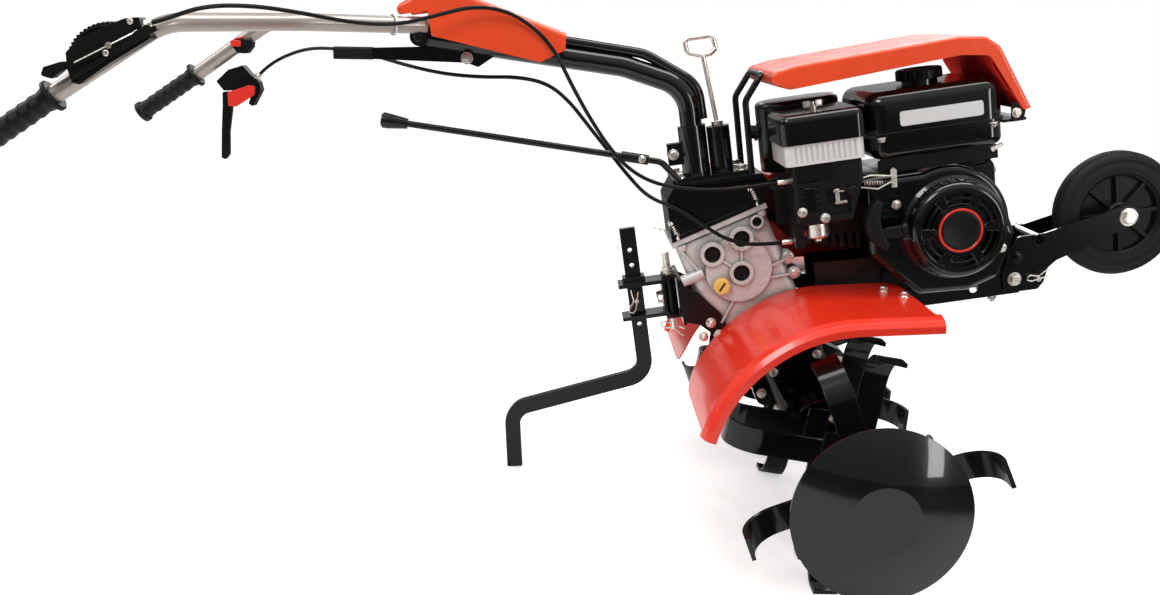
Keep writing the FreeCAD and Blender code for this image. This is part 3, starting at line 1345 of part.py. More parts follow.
def make_controls():
    """Throttle box on the right bar; clutch lever, its bracket and the switch on the left."""
    yoke_place = spot_values("column")[-1]

    def local(points):
        return [(yoke_place[0] + ahead, yoke_place[1] + up) for ahead, up in points]
    bars = {part.Label: part.Shape for part, place in PIECES if part.Label.startswith("handlebar_")}
    right_bar = bars["handlebar_right"]
    left_bar = bars["handlebar_left"]
    box = side_plate(local(((-410, 0), (-419, 4), (-421, 22), (-418, 42), (-397, 57), (-365, 66),
                            (-335, 73), (-316, 72), (-316, 52), (-303, 46), (-368, 20))),
                     -299, -325, 3)
    ridges = 17
    rim = []
    for step in range(2 * ridges + 1):
        angle = math.radians(172 - step * 112 / (2 * ridges))
        reach = 1 if step % 2 else 0.955
        rim.append((-365 + 57 * reach * math.cos(angle), 22 + 51 * reach * math.sin(angle)))
    dial = side_plate(local(rim + [(-345, 44), (-392, 24)]), -304, -321)
    lever = side_plate(local(((-448, 21), (-414, 32), (-358, 45), (-306, 61), (-303, 57),
                              (-357, 37), (-416, 23), (-438, 15))), -325, -329)
    thumb = side_plate(local(((-453, 18), (-447, 28), (-420, 32), (-422, 22), (-440, 12))),
                       -318, -333, 3)
    keep(feature("throttle_lever", box.multiFuse([dial, lever, thumb]).cut(right_bar)))
    clamp = side_plate(local(((-415, -25), (-390, -8), (-363, -4), (-352, -22), (-340, -37),
                              (-339, -52), (-359, -78), (-366, -72), (-356, -55), (-383, -46),
                              (-405, -43))), 318, 292, 2)
    keep(feature("clutch_bracket", clamp.cut(left_bar)))
    pawl = side_plate(local(((-398, -47), (-359, -40), (-347, -43), (-351, -58), (-388, -74),
                             (-401, -71))), 292, 286, 3)
    keep(feature("clutch_pawl", pawl))
    clutch = side_plate(local(((-408, -45), (-396, -46), (-394, -63), (-399, -81), (-411, -117),
                               (-419, -157), (-427, -165), (-434, -161), (-424, -115),
                               (-412, -66))), 304.5, 292.1, 3)
    keep(feature("clutch_lever", clutch.cut(clamp)))
    switch = side_plate(local(((-372, 37), (-356, 42), (-332, 36), (-335, 25), (-346, 15),
                               (-362, 18))), 296, 272, 4)
    keep(feature("kill_switch", switch.cut(left_bar)))
    side = -60
    knob_end = Vector(-618, side, 580.5)
    coupler = Vector(-205, side, 457)
    direction = (coupler - knob_end).normalize()
    rod = tube_along([knob_end + direction * 20, coupler, Vector(-181, side + 3, 424.5)], [20], 5)
    knob = spun(((0, 0), (0, 9), (3, 12), (10, 12), (40, 8), (40, 0)), knob_end, direction)
    joint_start = coupler - direction * 62
    joint = bar_between(joint_start, joint_start + direction * 42, 8)
    keep(feature("gear_lever", rod.multiFuse([knob, joint])))


# ---- rear hitch -----------------------------------------------------------------------

def make_hitch():
    x = num("hitch_pin_x")
    pin_radius = num("hitch_pin_radius")
    low = num("hitch_foot")
    high = num("hitch_top")
    leaf = num("hitch_leaf")
    rear = num("stake_x")
    gear_half = num("gear_half")
    pin_hole = Part.makeCylinder(pin_radius + num("pin_play"), 4 * (high - low),
                                 Vector(x, 0, low - 80))
    half = gear_half + 3.4
    web = box_between((x + 12, -half, low - 9), (x + 17, half, high + 10))
    ears = [box_between((x - 11, -20, floor), (x + 12, 20, floor + leaf))
            for floor in (high + leaf, low - leaf)]
    outline = ((x + 12, high + 4), (x + 12, low - 4), (x + 37, low - 12), (x + 75, low - 50),
               (x + 84, low - 34), (x + 72, low + 2), (x + 40, low + 40))
    cheeks = [side_plate(outline, max(side * gear_half, side * half),
                         min(side * gear_half, side * half)) for name, side in SIDES]
    bracket = web.multiFuse(ears + cheeks).cut(pin_hole)
    for part, place in PIECES:
        if part.Label in ("gearbox", "lower_case"):
            casting = part.Shape.copy()
            casting.Placement = place
            bracket = bracket.cut(casting)
    keep(feature("hitch_bracket", bracket))
    pin = Part.makeCylinder(pin_radius, high - low + 74, Vector(x, 0, low - 28))
    head = Part.makeCylinder(pin_radius + 5, 5, Vector(x, 0, high + 2 * leaf))
    keep(feature("hitch_pin", pin.fuse(head)))
    upper = box_between((rear - 13, -22, high), (x - 6, 22, high + leaf))
    lower = box_between((rear - 13, -22, low), (x - 6, 22, low + leaf))
    barrel = Part.makeCylinder(pin_radius + 5, high - low + leaf, Vector(x, 0, low))
    link = box_between((x - 13, -22, low), (x - 8, 22, high))
    slot = box_between((rear, -num("stake_thick / 2 + stake_play"), low - 10),
                       (rear + num("stake_width + 2 * stake_play"),
                        num("stake_thick / 2 + stake_play"), high + 20))
    collar = box_between((rear - 5, -14, high + leaf), (rear + num("stake_width") + 6, 14,
                                                        high + leaf + 9))
    holder = upper.multiFuse([lower, barrel, link, collar]).cut(slot).cut(pin_hole)
    keep(feature("stake_holder", holder))
    make_stake(rear)


def make_stake(rear):
    """A flat bar with two rounded bends, its foot cut square, and its row of holes."""
    width = num("stake_width")
    middle = rear + num("stake_play") + width / 2
    lean = math.radians(num("foot_lean"))
    up = Vector(math.sin(lean), 0, math.cos(lean))
    forwards = Vector(math.cos(lean), 0, -math.sin(lean))
    foot = STAKE_FOOT + forwards * (width / 2)
    ankle = foot + up * num("foot_run")
    knee = Vector(middle, 0, num("knee_height"))
    bar = flat_bar_along([Vector(middle, 0, num("stake_top")), knee, ankle, foot],
                         [num("stake_bend"), num("stake_bend")], width, num("stake_thick"))
    for drop in STAKE_HOLES:
        bar = bar.cut(cross_bar(middle, num("stake_top") - drop, num("stake_hole"), 20, -20))
    keep(feature("drag_stake", bar))


# ---- control cables -------------------------------------------------------------------

THROTTLE_ROUTE = (
    (-855.6, -312, 756), (-826, -311, 760), (-782, -290, 770), (-732, -250, 764),
    (-680, -204, 748), (-622, -154, 726), (-562, -118, 714), (-505, -104, 720),
    (-450, -98, 726), (-402, -94, 712), (-364, -91, 680), (-340, -88, 640),
    (-326, -80, 596), (-308, -76, 548), (-286, -76, 500), (-260, -76, 458), (-222, -76, 428),
    (-172, -78, 412), (-118, -84, 404), (-66, -90, 404), (-20, -90, 404))
CLUTCH_ROUTE = (
    (-885.7, 305, 664.8), (-866, 305, 680.5), (-822, 282, 696), (-766, 236, 703),
    (-705, 180, 694), (-640, 112, 676), (-580, 60, 652), (-520, 22, 632), (-460, -10, 620),
    (-405, -34, 614), (-360, -44, 598), (-331, -45, 566), (-308, -45, 526),
    (-283, -46, 484), (-258, -52, 442), (-232, -66, 406), (-192, -78, 386),
    (-158, -84, 358), (-124, -86, 328), (-78, -88, 311), (-22, -88, 311))


def cable_radii(points):
    """Arcs as large as their two runs allow."""
    radii = []
    for before, corner, after in zip(points, points[1:], points[2:]):
        back = before - corner
        ahead = after - corner
        turn = math.pi - back.getAngle(ahead)
        radii.append(0.45 * min(back.Length, ahead.Length) / math.tan(turn / 2))
    return radii


def make_cables():
    for label, route in (("throttle_cable", THROTTLE_ROUTE), ("clutch_cable", CLUTCH_ROUTE)):
        points = [Vector(*point) for point in route]
        keep(feature(label, tube_along(points, cable_radii(points), num("cable_radius"))))


MAKERS = (make_bed, make_engine, make_shroud, make_starter, make_tank, make_air_cleaner,
          make_carburettor, make_muffler, make_handle_pull, make_belt_cover, make_gearbox,
          make_gearbox_cover, make_lower_case, make_rotor, make_discs, make_mudguards,
          make_guard_bracket, make_wheel, make_fork, make_hood, make_sleeve, make_column,
          make_controls, make_hitch, make_cables)


def check_document():
    """Stop if any object failed to build or any sub-part has no sound shape."""
    for item in doc.Objects:
        if "Invalid" in item.State or "Error" in item.State:
            raise RuntimeError("%s did not build: %s" % (item.Label, item.State))
    for part, place in PIECES:
        if part.Shape.isNull() or not part.Shape.isValid() or not part.Shape.Solids:
            raise RuntimeError("%s has no sound solid" % part.Label)


def park():
    """Pitch the machine back onto its stake and centre it over the origin, on the floor."""
    pitch = at(0, 0, 0, PARK_PITCH)
    box = FreeCAD.BoundBox()
    for part, place in PIECES:
        part.Placement = pitch * place
        box.add(part.Shape.optimalBoundingBox(True, False))
    shift = Placement(Vector(-box.Center.x, -box.Center.y, AXLE_HEIGHT), Rotation())
    for part, place in PIECES:
        part.Placement = shift * pitch * place
    return shift * pitch


for make in MAKERS:
    make()
doc.recompute()
check_document()
PARKED = park()
doc.recompute()
check_document()
for part, place in PIECES:
    part.Shape.exportStep("parts/%s.step" % part.Label)
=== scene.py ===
"""Looks of a walk-behind garden tiller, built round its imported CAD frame.

Pieces are placed in the machine's own level frame, in millimetres: x forwards, y to the
operator's left, z up, from the tine shaft's axis.  place() turns such a point into the
parked frame that the CAD model stands in, in metres.
"""

import json
from math import cos, hypot, radians, sin, sqrt, tau

import bmesh
import bpy
from mathutils import Matrix, Vector


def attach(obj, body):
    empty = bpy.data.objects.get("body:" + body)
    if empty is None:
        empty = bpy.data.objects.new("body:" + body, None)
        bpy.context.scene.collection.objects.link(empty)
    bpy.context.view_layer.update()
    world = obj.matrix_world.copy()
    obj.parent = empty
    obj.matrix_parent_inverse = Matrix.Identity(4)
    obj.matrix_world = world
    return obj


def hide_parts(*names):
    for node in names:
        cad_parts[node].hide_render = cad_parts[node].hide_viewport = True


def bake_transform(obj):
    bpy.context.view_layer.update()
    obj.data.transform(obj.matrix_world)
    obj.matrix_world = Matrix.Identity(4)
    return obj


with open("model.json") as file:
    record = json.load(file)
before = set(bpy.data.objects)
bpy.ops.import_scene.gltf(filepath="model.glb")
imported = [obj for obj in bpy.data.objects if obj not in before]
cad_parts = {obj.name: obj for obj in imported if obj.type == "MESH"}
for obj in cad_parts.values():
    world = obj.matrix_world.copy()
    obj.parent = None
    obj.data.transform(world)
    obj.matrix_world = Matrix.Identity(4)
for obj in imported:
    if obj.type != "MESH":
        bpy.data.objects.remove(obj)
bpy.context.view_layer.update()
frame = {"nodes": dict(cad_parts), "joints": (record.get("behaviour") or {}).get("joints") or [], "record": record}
NODES = frame["nodes"]
JOINTS = {joint["name"]: joint for joint in frame["joints"]}


# ---- the machine's own frame ----

AXLE = Vector(JOINTS["rotor_spin"]["pos_m"])
UP = Vector(JOINTS["handlebar_swivel"]["axis"])
SIDE = Vector((0, 1, 0))
AHEAD = SIDE.cross(UP)
MM = 0.001
TO_PARKED = Matrix.Translation(AXLE) @ Matrix((AHEAD, SIDE, UP)).transposed().to_4x4()
TO_LEVEL = TO_PARKED.inverted()

# Directions in that frame.
FORWARDS = (1, 0, 0)
BACK = (-1, 0, 0)
RIGHT = (0, -1, 0)
LEFT = (0, 1, 0)
TOP = (0, 0, 1)
DOWN = (0, 0, -1)
BOTH_SIDES = (-1, 1)


def place(x, y, z):
    """A point of the level frame, in millimetres, where the parked machine has it."""
    return TO_PARKED @ (Vector((x, y, z)) * MM)


def level_box(node):
    """A node's lowest and highest corners in the level frame, to a tenth of a millimetre."""
    points = [TO_LEVEL @ vertex.co / MM for vertex in NODES[node].data.vertices]
    return [[round(end(point[axis] for point in points), 1) for axis in range(3)]
            for end in (min, max)]


def middle(node):
    """The middle of a node seen from the side, as (x, z)."""
    low, high = level_box(node)
    return ((low[0] + high[0]) / 2, (low[2] + high[2]) / 2)


# Axes that run across the machine, as (x, z), and the transmission's lean in degrees.
CRANK = middle("recoil_starter")
PULLEY = (-98, 326)
PIVOT = middle("pivot_bolt")
LOCK_PIN = middle("lock_pin")
WHEEL = middle("axle_bolt")
GEAR_LEAN = 16
# The tine crosses: y of the first and the step to the next, the angle of the first blade,
# and how far each cross is turned back, in degrees.
FIRST_CROSS, CROSS_STEP = 124, 112
FIRST_BLADE = 252
CROSS_TURNS = (0, 0, 60)
# Faces that carry pieces: x of a front, y of a side and z of a top.
BLOCK_FRONT = level_box("engine_block")[1][0]
BELT_FACE = level_box("belt_cover")[1][1]
SHIELD_FACE = level_box("muffler")[1][1]
HITCH_FACE = level_box("hitch_bracket")[1][1]
FORK_FACE = 46.2
PLUG_FACE = level_box("oil_plug")[0][1]
COVER_FACE = level_box("carburettor")[0][1]
STARTER_FACE = level_box("recoil_starter")[0][1]
SHROUD_FACE = level_box("fan_shroud")[0][1] - 1
TANK_FACE = level_box("fuel_tank")[0][1] + 2.6
CLEANER_TOP = level_box("air_cleaner_cover")[1][2]


def link_object(name, data):
    """A new object in the scene."""
    thing = bpy.data.objects.new(name, data)
    bpy.context.scene.collection.objects.link(thing)
    return thing


# ---- camera, lights and stage ----

CAMERA_PLACE = (-329.0, -1870.0, 685.7)
CAMERA_TURNS = ((-0.955, "Z"), (7.994, "Y"), (76.726, "X"))
CAMERA_LENS = 36.62
# name: place, aimed at, size, power
LAMPS = {"key": ((-1.7, -2.3, 2.7), (0.1, 0, 0.4), (1.5, 1.0), 50),
         "fill": ((2.4, -2.9, 1.3), (0.2, 0, 0.4), (0.5, 1.7), 26),
         "overhead": ((0.1, -0.3, 3.1), (0.1, 0, 0.4), (2.6, 1.0), 46),
         "back": ((0.4, 3.0, 2.2), (0.1, 0, 0.4), (2.6, 1.2), 44),
         "rear": ((-3.1, 0.6, 1.6), (-0.2, 0, 0.5), (0.8, 1.6), 22)}
WHITE = (1, 1, 1, 1)
# The world's strength low and high up, and the share of its plain white in reflections.
STUDIO_DIM, STUDIO_BRIGHT = 0.10, 0.62
WHITE_IN_REFLECTIONS = 0.2
# The floor's half side, and how far out its white starts to fade and has gone.
FLOOR_HALF = 30
WHITE_ENDS, DARK_STARTS = 1.3, 1.75


def make_camera():
    """The view from the machine's right and a little above, with a long lens."""
    data = bpy.data.cameras.new("camera")
    data.sensor_width = 36.0
    data.lens = CAMERA_LENS
    data.clip_end = 100.0
    camera = link_object("camera", data)
    spot = Matrix.Translation(Vector(CAMERA_PLACE) * MM)
    for degrees, axis in CAMERA_TURNS:
        spot = spot @ Matrix.Rotation(radians(degrees), 4, axis)
    camera.matrix_world = TO_PARKED @ spot
    bpy.context.scene.camera = camera


def make_light():
    """Five plain soft lamps, each aimed at a place on the machine."""
    bpy.context.scene.view_settings.view_transform = "Standard"
    for name, (where, aim, size, power) in LAMPS.items():
        data = bpy.data.lights.new(name, "AREA")
        data.shape = "RECTANGLE"
        data.size, data.size_y = size
        data.energy = power
        lamp = link_object(name, data)
        lamp.location = where
        lamp.rotation_euler = (Vector(aim) - Vector(where)).to_track_quat("-Z", "Y").to_euler()


def add_node(tree, kind, inputs=None, **settings):
    """A new shader node; an input takes a value, or a link from another node's output."""
    node = tree.nodes.new("ShaderNode" + kind)
    for setting, value in settings.items():
        setattr(node, setting, value)
    for socket, value in (inputs or {}).items():
        if isinstance(value, bpy.types.NodeSocket):
            tree.links.new(value, node.inputs[socket])
        else:
            node.inputs[socket].default_value = value
    return node


def make_world():
    """A white studio: dim walls, a bright ceiling, and plain white behind the machine.

    Reflections see only a share of that white, or the black enamel would turn grey.
    """
    world = bpy.data.worlds.new("studio")
    bpy.context.scene.world = world
    world.use_nodes = True
    tree = world.node_tree
    background = tree.nodes["Background"]
    background.inputs["Color"].default_value = WHITE
    where = add_node(tree, "TexCoord")
    split = add_node(tree, "SeparateXYZ", {"Vector": where.outputs["Generated"]})
    ceiling = add_node(tree, "MapRange", {
        "Value": split.outputs["Z"], "From Min": 0.12, "From Max": 0.75,
        "To Min": STUDIO_DIM, "To Max": STUDIO_BRIGHT}, interpolation_type="SMOOTHSTEP")
    path = add_node(tree, "LightPath")
    shown = path.outputs["Is Camera Ray"]
    for kind in ("Is Glossy Ray", "Is Transmission Ray"):
        share = add_node(tree, "Math", {0: path.outputs[kind], 1: WHITE_IN_REFLECTIONS},
                         operation="MULTIPLY")
        both = add_node(tree, "Math", {0: shown, 1: share.outputs["Value"]},
                        operation="MAXIMUM")
        shown = both.outputs["Value"]
    strength = add_node(tree, "Mix", {"Factor": shown, "A": ceiling.outputs["Result"],
                                      "B": 1.0}, data_type="FLOAT")
    tree.links.new(strength.outputs["Result"], background.inputs["Strength"])


def make_floor():
    """A white floor that keeps the machine's shadow; past it the studio's own floor is dark."""
    mesh = bpy.data.meshes.new("floor")
    corners = [(x * FLOOR_HALF, y * FLOOR_HALF, 0) for x, y in
               ((-1, -1), (1, -1), (1, 1), (-1, 1))]
    mesh.from_pydata(corners, [], [(0, 1, 2, 3)])
    floor = link_object("floor", mesh)
    material = bpy.data.materials.new("floor")
    material.use_nodes = True
    tree = material.node_tree
    surface = tree.nodes["Principled BSDF"].inputs
    surface["Roughness"].default_value = 0.9
    surface["Emission Color"].default_value = WHITE
    where = add_node(tree, "TexCoord")
    length = add_node(tree, "VectorMath", {0: where.outputs["Object"]}, operation="LENGTH")
    far = add_node(tree, "MapRange", {
        "Value": length.outputs["Value"], "From Min": WHITE_ENDS, "From Max": DARK_STARTS},
        interpolation_type="SMOOTHSTEP")
    color = add_node(tree, "Mix", data_type="RGBA", inputs={
        "Factor": far.outputs["Result"], "A": (0.8, 0.79, 0.775, 1), "B": (0.05, 0.05, 0.05, 1)})
    tree.links.new(color.outputs["Result"], surface["Base Color"])
    path = add_node(tree, "LightPath")
    reach = add_node(tree, "Math", {0: far.outputs["Result"], 1: 0.5, 2: 0.5},
                     operation="MULTIPLY_ADD")
    glow = add_node(tree, "Math", {0: path.outputs["Is Camera Ray"], 1: reach.outputs["Value"]},
                    operation="MULTIPLY")
    tree.links.new(glow.outputs["Value"], surface["Emission Strength"])
    mesh.materials.append(material)


# ---- materials ----

class Shader:
    """A new material with its principled shader and short calls that add texture to it."""

    def __init__(self, name, color, rough, metal=0.0, coat=0.0, coat_rough=0.05):
        self.material = bpy.data.materials.new(name)
        self.material.use_nodes = True
        self.tree = self.material.node_tree
        self.sockets = self.tree.nodes["Principled BSDF"].inputs
        self.color = color
        values = {"Base Color": (*color, 1), "Roughness": rough, "Metallic": metal,
                  "Coat Weight": coat, "Coat Roughness": coat_rough}
        # Near-black paint and plastic would look grey with the usual share of reflection.
        if max(color) < 0.02:
            values["Specular IOR Level"] = 0.2
        for socket, value in values.items():
            self.sockets[socket].default_value = value
        self.where = self.add("TexCoord").outputs["Object"]
        self.normal = None

    def add(self, kind, inputs=None, **settings):
        """A new node in this material."""
        return add_node(self.tree, kind, inputs, **settings)

    def noise(self, scale, detail):
        """Noise over the parked frame's metres."""
        return self.add("TexNoise", {"Vector": self.where, "Scale": scale,
                                     "Detail": detail}).outputs["Fac"]

    def cells(self, scale):
        """Distances to the middles of random cells."""
        return self.add("TexVoronoi", {"Vector": self.where, "Scale": scale}).outputs["Distance"]

    def spread(self, factor, low, high, start=0.3, end=0.7):
        """A factor drawn out from start..end to low..high."""
        return self.add("MapRange", {"Value": factor, "From Min": start, "From Max": end,
                                     "To Min": low, "To Max": high}).outputs["Result"]

    def bevel(self, radius):
        """The normal that the surface would have with its edges rounded."""
        return self.add("Bevel", {"Radius": radius}, samples=4).outputs["Normal"]

    def edge_mask(self, radius):
        """1 at sharp edges and 0 on flats."""
        geometry = self.add("NewGeometry")
        product = self.add("VectorMath", {0: self.bevel(radius), 1: geometry.outputs["Normal"]},
                           operation="DOT_PRODUCT")
        return self.spread(product.outputs["Value"], 1.0, 0.0, 0.86, 0.985)

    def painted_crevice_shade(self, reach):
        """Painted shade: 1 deep in corners and 0 in the open, from ambient occlusion."""
        shade = self.add("AmbientOcclusion", {"Distance": reach}, samples=4)
        return self.spread(shade.outputs["AO"], 1.0, 0.0, 0.35, 0.9)

    def mottle(self, scale, detail, most, share):
        """The colour drifts in patches of noise, by the most that is given."""
        self.tint(self.spread(self.noise(scale, detail), 0.0, most), share)

    def tint(self, factor, share):
        """The colour drifts by the factor to a share of itself, or to another colour."""
        other = share
        if not isinstance(share, tuple):
            other = tuple(part * share for part in self.color)
        base = self.sockets["Base Color"]
        before = base.links[0].from_socket if base.is_linked else (*self.color, 1)
        mix = self.add("Mix", {"Factor": factor, "A": before,
                               "B": (*(min(1.0, part) for part in other), 1)}, data_type="RGBA")
        self.tree.links.new(mix.outputs["Result"], base)

    def vary_rough(self, scale, detail, low, high):
        """The gloss drifts by noise between two shares of the roughness."""
        rough = self.sockets["Roughness"]
        usual = rough.default_value
        self.tree.links.new(
            self.spread(self.noise(scale, detail), usual * low, usual * high), rough)

    def soft_edges(self, radius=0.0012):
        """Sharp edges catch the light as if slightly rounded."""
        self.normal = self.bevel(radius)
        self.tree.links.new(self.normal, self.sockets["Normal"])

    def bump(self, scale, detail, distance):
        """A relief of noise over the soft edges."""
        node = self.add("Bump", {"Strength": 1.0, "Distance": distance,
                                 "Height": self.noise(scale, detail), "Normal": self.normal})
        self.tree.links.new(node.outputs["Normal"], self.sockets["Normal"])


def painted(name, color, rough, worn, coat, wear, ripple):
    """Sprayed paint: a faint ripple, uneven gloss and paint rubbed thin at the edges."""
    shader = Shader(name, color, rough, coat=coat, coat_rough=0.04)
    shader.soft_edges()
    shader.mottle(5.0, 2.0, 0.4, 1.12)
    edges = shader.edge_mask(0.0011)
    patches = shader.spread(shader.noise(55.0, 4.0), 0.0, wear)
    rubbed = shader.add("Math", {0: edges, 1: patches}, operation="MULTIPLY")
    shader.tint(rubbed.outputs["Value"], worn)
    shader.vary_rough(14.0, 3.0, 0.88, 1.15)
    shader.bump(140.0, 2.0, ripple)
    return shader


def moulded(name, color, rough, grain=0.00008, coat=0.0, specular=None):
    """Moulded plastic: a fine even grain and a slight drift in gloss and colour."""
    shader = Shader(name, color, rough, coat=coat, coat_rough=0.1)
    if specular is not None:
        shader.sockets["Specular IOR Level"].default_value = specular
    shader.soft_edges(0.0015)
    shader.mottle(6.0, 4.0, 0.5, 0.82)
    shader.vary_rough(30.0, 5.0, 0.85, 1.2)
    shader.bump(900.0, 2.0, grain)
    return shader


def cast(name, color, rough, metal, pits):
    """Sand-cast metal: a pebbled skin, with painted shade darkening its hollows."""
    shader = Shader(name, color, rough, metal=metal)
    shader.soft_edges(0.002)
    shader.tint(shader.spread(shader.noise(320.0, 6.0), 0.55, 0.0), 0.55)
    shader.mottle(16.0, 4.0, 0.4, 0.8)
    # Painted shade: the colour darkens where ambient occlusion finds corners and hollows.
    shader.tint(shader.painted_crevice_shade(0.014), 0.3)
    shader.vary_rough(60.0, 6.0, 0.8, 1.2)
    shader.bump(320.0, 6.0, pits)
    return shader


def plated(name, color, rough):
    """Zinc plate: fine drawn lines and a faint straw tinge."""
    shader = Shader(name, color, rough, metal=1.0)
    shader.soft_edges(0.0008)
    red, green, blue = color
    shader.mottle(70.0, 5.0, 0.6, (red, green * 0.9, blue * 0.72))
    shader.vary_rough(180.0, 4.0, 0.7, 1.4)
    shader.bump(400.0, 2.0, 0.00001)
    return shader


def rubber(name, color, rough, grain):
    """Rubber: a matt skin, bleached in patches."""
    shader = Shader(name, color, rough)
    shader.soft_edges(0.001)
    shader.mottle(22.0, 5.0, 0.55, 1.9)
    shader.vary_rough(40.0, 5.0, 0.85, 1.1)
    shader.bump(700.0, 3.0, grain)
    return shader


def flaked(name, color, rough):
    """Metallic paint: bright flakes under a clear coat."""
    shader = Shader(name, color, rough, metal=0.55, coat=0.5, coat_rough=0.12)
    shader.soft_edges(0.0008)
    shader.tint(shader.spread(shader.cells(2200.0), 0.22, 0.0, 0.1, 0.7), 1.5)
    shader.mottle(8.0, 3.0, 0.35, 0.85)
    shader.vary_rough(50.0, 4.0, 0.85, 1.2)
    shader.bump(600.0, 2.0, 0.00002)
    return shader


DARK_STEEL = (0.10, 0.098, 0.095)
LOOKS = {
    "black_steel": painted("satin_black", (0.0045, 0.0045, 0.0048), 0.28, DARK_STEEL, coat=0.25,
                           wear=0.25, ripple=0.0001),
    "engine_casting": cast("engine_grey", (0.016, 0.016, 0.017), 0.42, 0.3, 0.00035),
    "black_casting": cast("black_casting", (0.006, 0.006, 0.0065), 0.32, 0.1, 0.00018),
    "gloss_black": painted("gloss_black", (0.002, 0.002, 0.0022), 0.2, DARK_STEEL, coat=0.7,
                           wear=0.12, ripple=0.00003),
    "tank_black": painted("tank_black", (0.0018, 0.0018, 0.002), 0.16, DARK_STEEL, coat=0.8,
                          wear=0.0, ripple=0.00002),
    "red_paint": painted("red_paint", (0.76, 0.028, 0.010), 0.24, (0.62, 0.10, 0.06), coat=0.3,
                         wear=0.15, ripple=0.00003),
    "orange_plastic": moulded("orange_plastic", (0.92, 0.078, 0.018), 0.24, 0.00002, 0.4),
    "cast_aluminium": cast("cast_aluminium", (0.74, 0.715, 0.695), 0.5, 0.3, 0.0002),
    "yellow_plastic": moulded("yellow_plastic", (0.93, 0.58, 0.14), 0.38),
    "red_plastic": moulded("red_plastic", (0.80, 0.034, 0.016), 0.3),
    "red_lining": moulded("red_lining", (0.80, 0.03, 0.02), 0.8, specular=0.1),
    "black_plastic": moulded("black_plastic", (0.006, 0.006, 0.0065), 0.36),
    "pale_plastic": moulded("pale_plastic", (0.76, 0.76, 0.75), 0.3, coat=0.3),
    "rim_plastic": moulded("rim_plastic", (0.0065, 0.0065, 0.007), 0.38, 0.0001),
    "cable_sheath": moulded("cable_sheath", (0.0045, 0.0045, 0.005), 0.3, 0.00003),
    "grip_rubber": rubber("grip_rubber", (0.006, 0.006, 0.006), 0.45, 0.00008),
    "tyre": rubber("tyre_rubber", (0.011, 0.0105, 0.010), 0.62, 0.0002),
    "zinc_steel": plated("zinc_steel", (0.82, 0.80, 0.77), 0.32),
    "bright_steel": plated("bright_steel", (0.58, 0.57, 0.55), 0.24),
    "tine_steel": painted("tine_steel", (0.004, 0.0039, 0.0038), 0.2, (0.14, 0.13, 0.12),
                          coat=0.35, wear=0.5, ripple=0.0001),
    "bar_paint": flaked("bar_paint", (0.40, 0.35, 0.32), 0.34),
}

# Nodes and pieces whose own finish is glossier, or another colour, than their slot's.
GLOSSIER = ("fan_shroud", "recoil_starter", "gearbox_cover", "air_cleaner_cover",
            "handle_column", "brace_tube", "column_sleeve", "wheel_fork", "bed_frame",
            "hood_bracket", "handle_bracket", "lower_case")
OWN_LOOKS = {"kill_switch": "black_plastic", "hood_lining": "red_lining",
             **dict.fromkeys(GLOSSIER, "gloss_black")}


def look_of(name, slot):
    """The material of a node or piece."""
    return LOOKS[OWN_LOOKS.get(name, slot)].material


def dress_frame():
    """Every CAD node gets its material."""
    for row in frame["record"]["subparts"]:
        mesh = NODES[row["node"]].data
        mesh.materials.clear()
        mesh.materials.append(look_of(row["node"], row["material_slot"]))
        for face in mesh.polygons:
            face.material_index = 0


# ---- making pieces ----

def to_object(name, out, slot, body="chassis", smooth_angle=35):
    """Turn a filled bmesh, in the machine's frame and millimetres, into a riding piece."""
    bmesh.ops.recalc_face_normals(out, faces=out.faces)
    mesh = bpy.data.meshes.new(name)
    out.to_mesh(mesh)
    out.free()
    mesh.transform(TO_PARKED @ Matrix.Scale(MM, 4))
    mesh.materials.append(look_of(name, slot))
    mesh.shade_smooth()
    mesh.set_sharp_from_angle(angle=radians(smooth_angle))
    piece = link_object(name, mesh)
    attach(piece, body)
    return piece


def facing(centre, direction, spin=0.0):
    """A matrix that carries +Z onto a direction at a point."""
    turn = Vector(direction).to_track_quat("Z", "Y").to_matrix().to_4x4()
    return Matrix.Translation(Vector(centre)) @ turn @ Matrix.Rotation(radians(spin), 4, "Z")


def beside(spot, y):
    """The point at an (x, z) spot, y to the left of the machine's middle."""
    return (spot[0], y, spot[1])


def lean(v, u):
    """The (x, z) spot of a point (v, u) in the leaning transmission's own frame."""
    angle = radians(GEAR_LEAN)
    return (v * cos(angle) - u * sin(angle), v * sin(angle) + u * cos(angle))


def hexagon(corner):
    """The outline of a hexagon whose corners lie that far out."""
    return [(corner * cos(tau * step / 6), corner * sin(tau * step / 6)) for step in range(6)]


def rounded(half_x, half_y, radius, steps=5, middle_x=0):
    """A rectangle's outline with rounded corners."""
    points = []
    for quarter, (right, up) in enumerate(((1, 1), (-1, 1), (-1, -1), (1, -1))):
        for step in range(steps + 1):
            angle = radians(90 * quarter + 90 * step / steps)
            points.append((middle_x + right * (half_x - radius) + radius * cos(angle),
                           up * (half_y - radius) + radius * sin(angle)))
    return points


def arc(centre, radius, start, end, steps):
    """Points on an upright arc seen from the side, its angles in degrees from forwards."""
    points = []
    for step in range(steps + 1):
        angle = radians(start + (end - start) * step / steps)
        points.append(Vector(centre) + Vector(FORWARDS) * radius * cos(angle)
                      + Vector(TOP) * radius * sin(angle))
    return points


def add_walls(out, rings, capped=True):
    """Faces from each ring of corners to the next, and across the first and last."""
    for low, high in zip(rings, rings[1:]):
        for step, corner in enumerate(low):
            ahead = (step + 1) % len(low)
            out.faces.new((corner, low[ahead], high[ahead], high[step]))
    if capped:
        out.faces.new(list(reversed(rings[0])))
        out.faces.new(rings[-1])


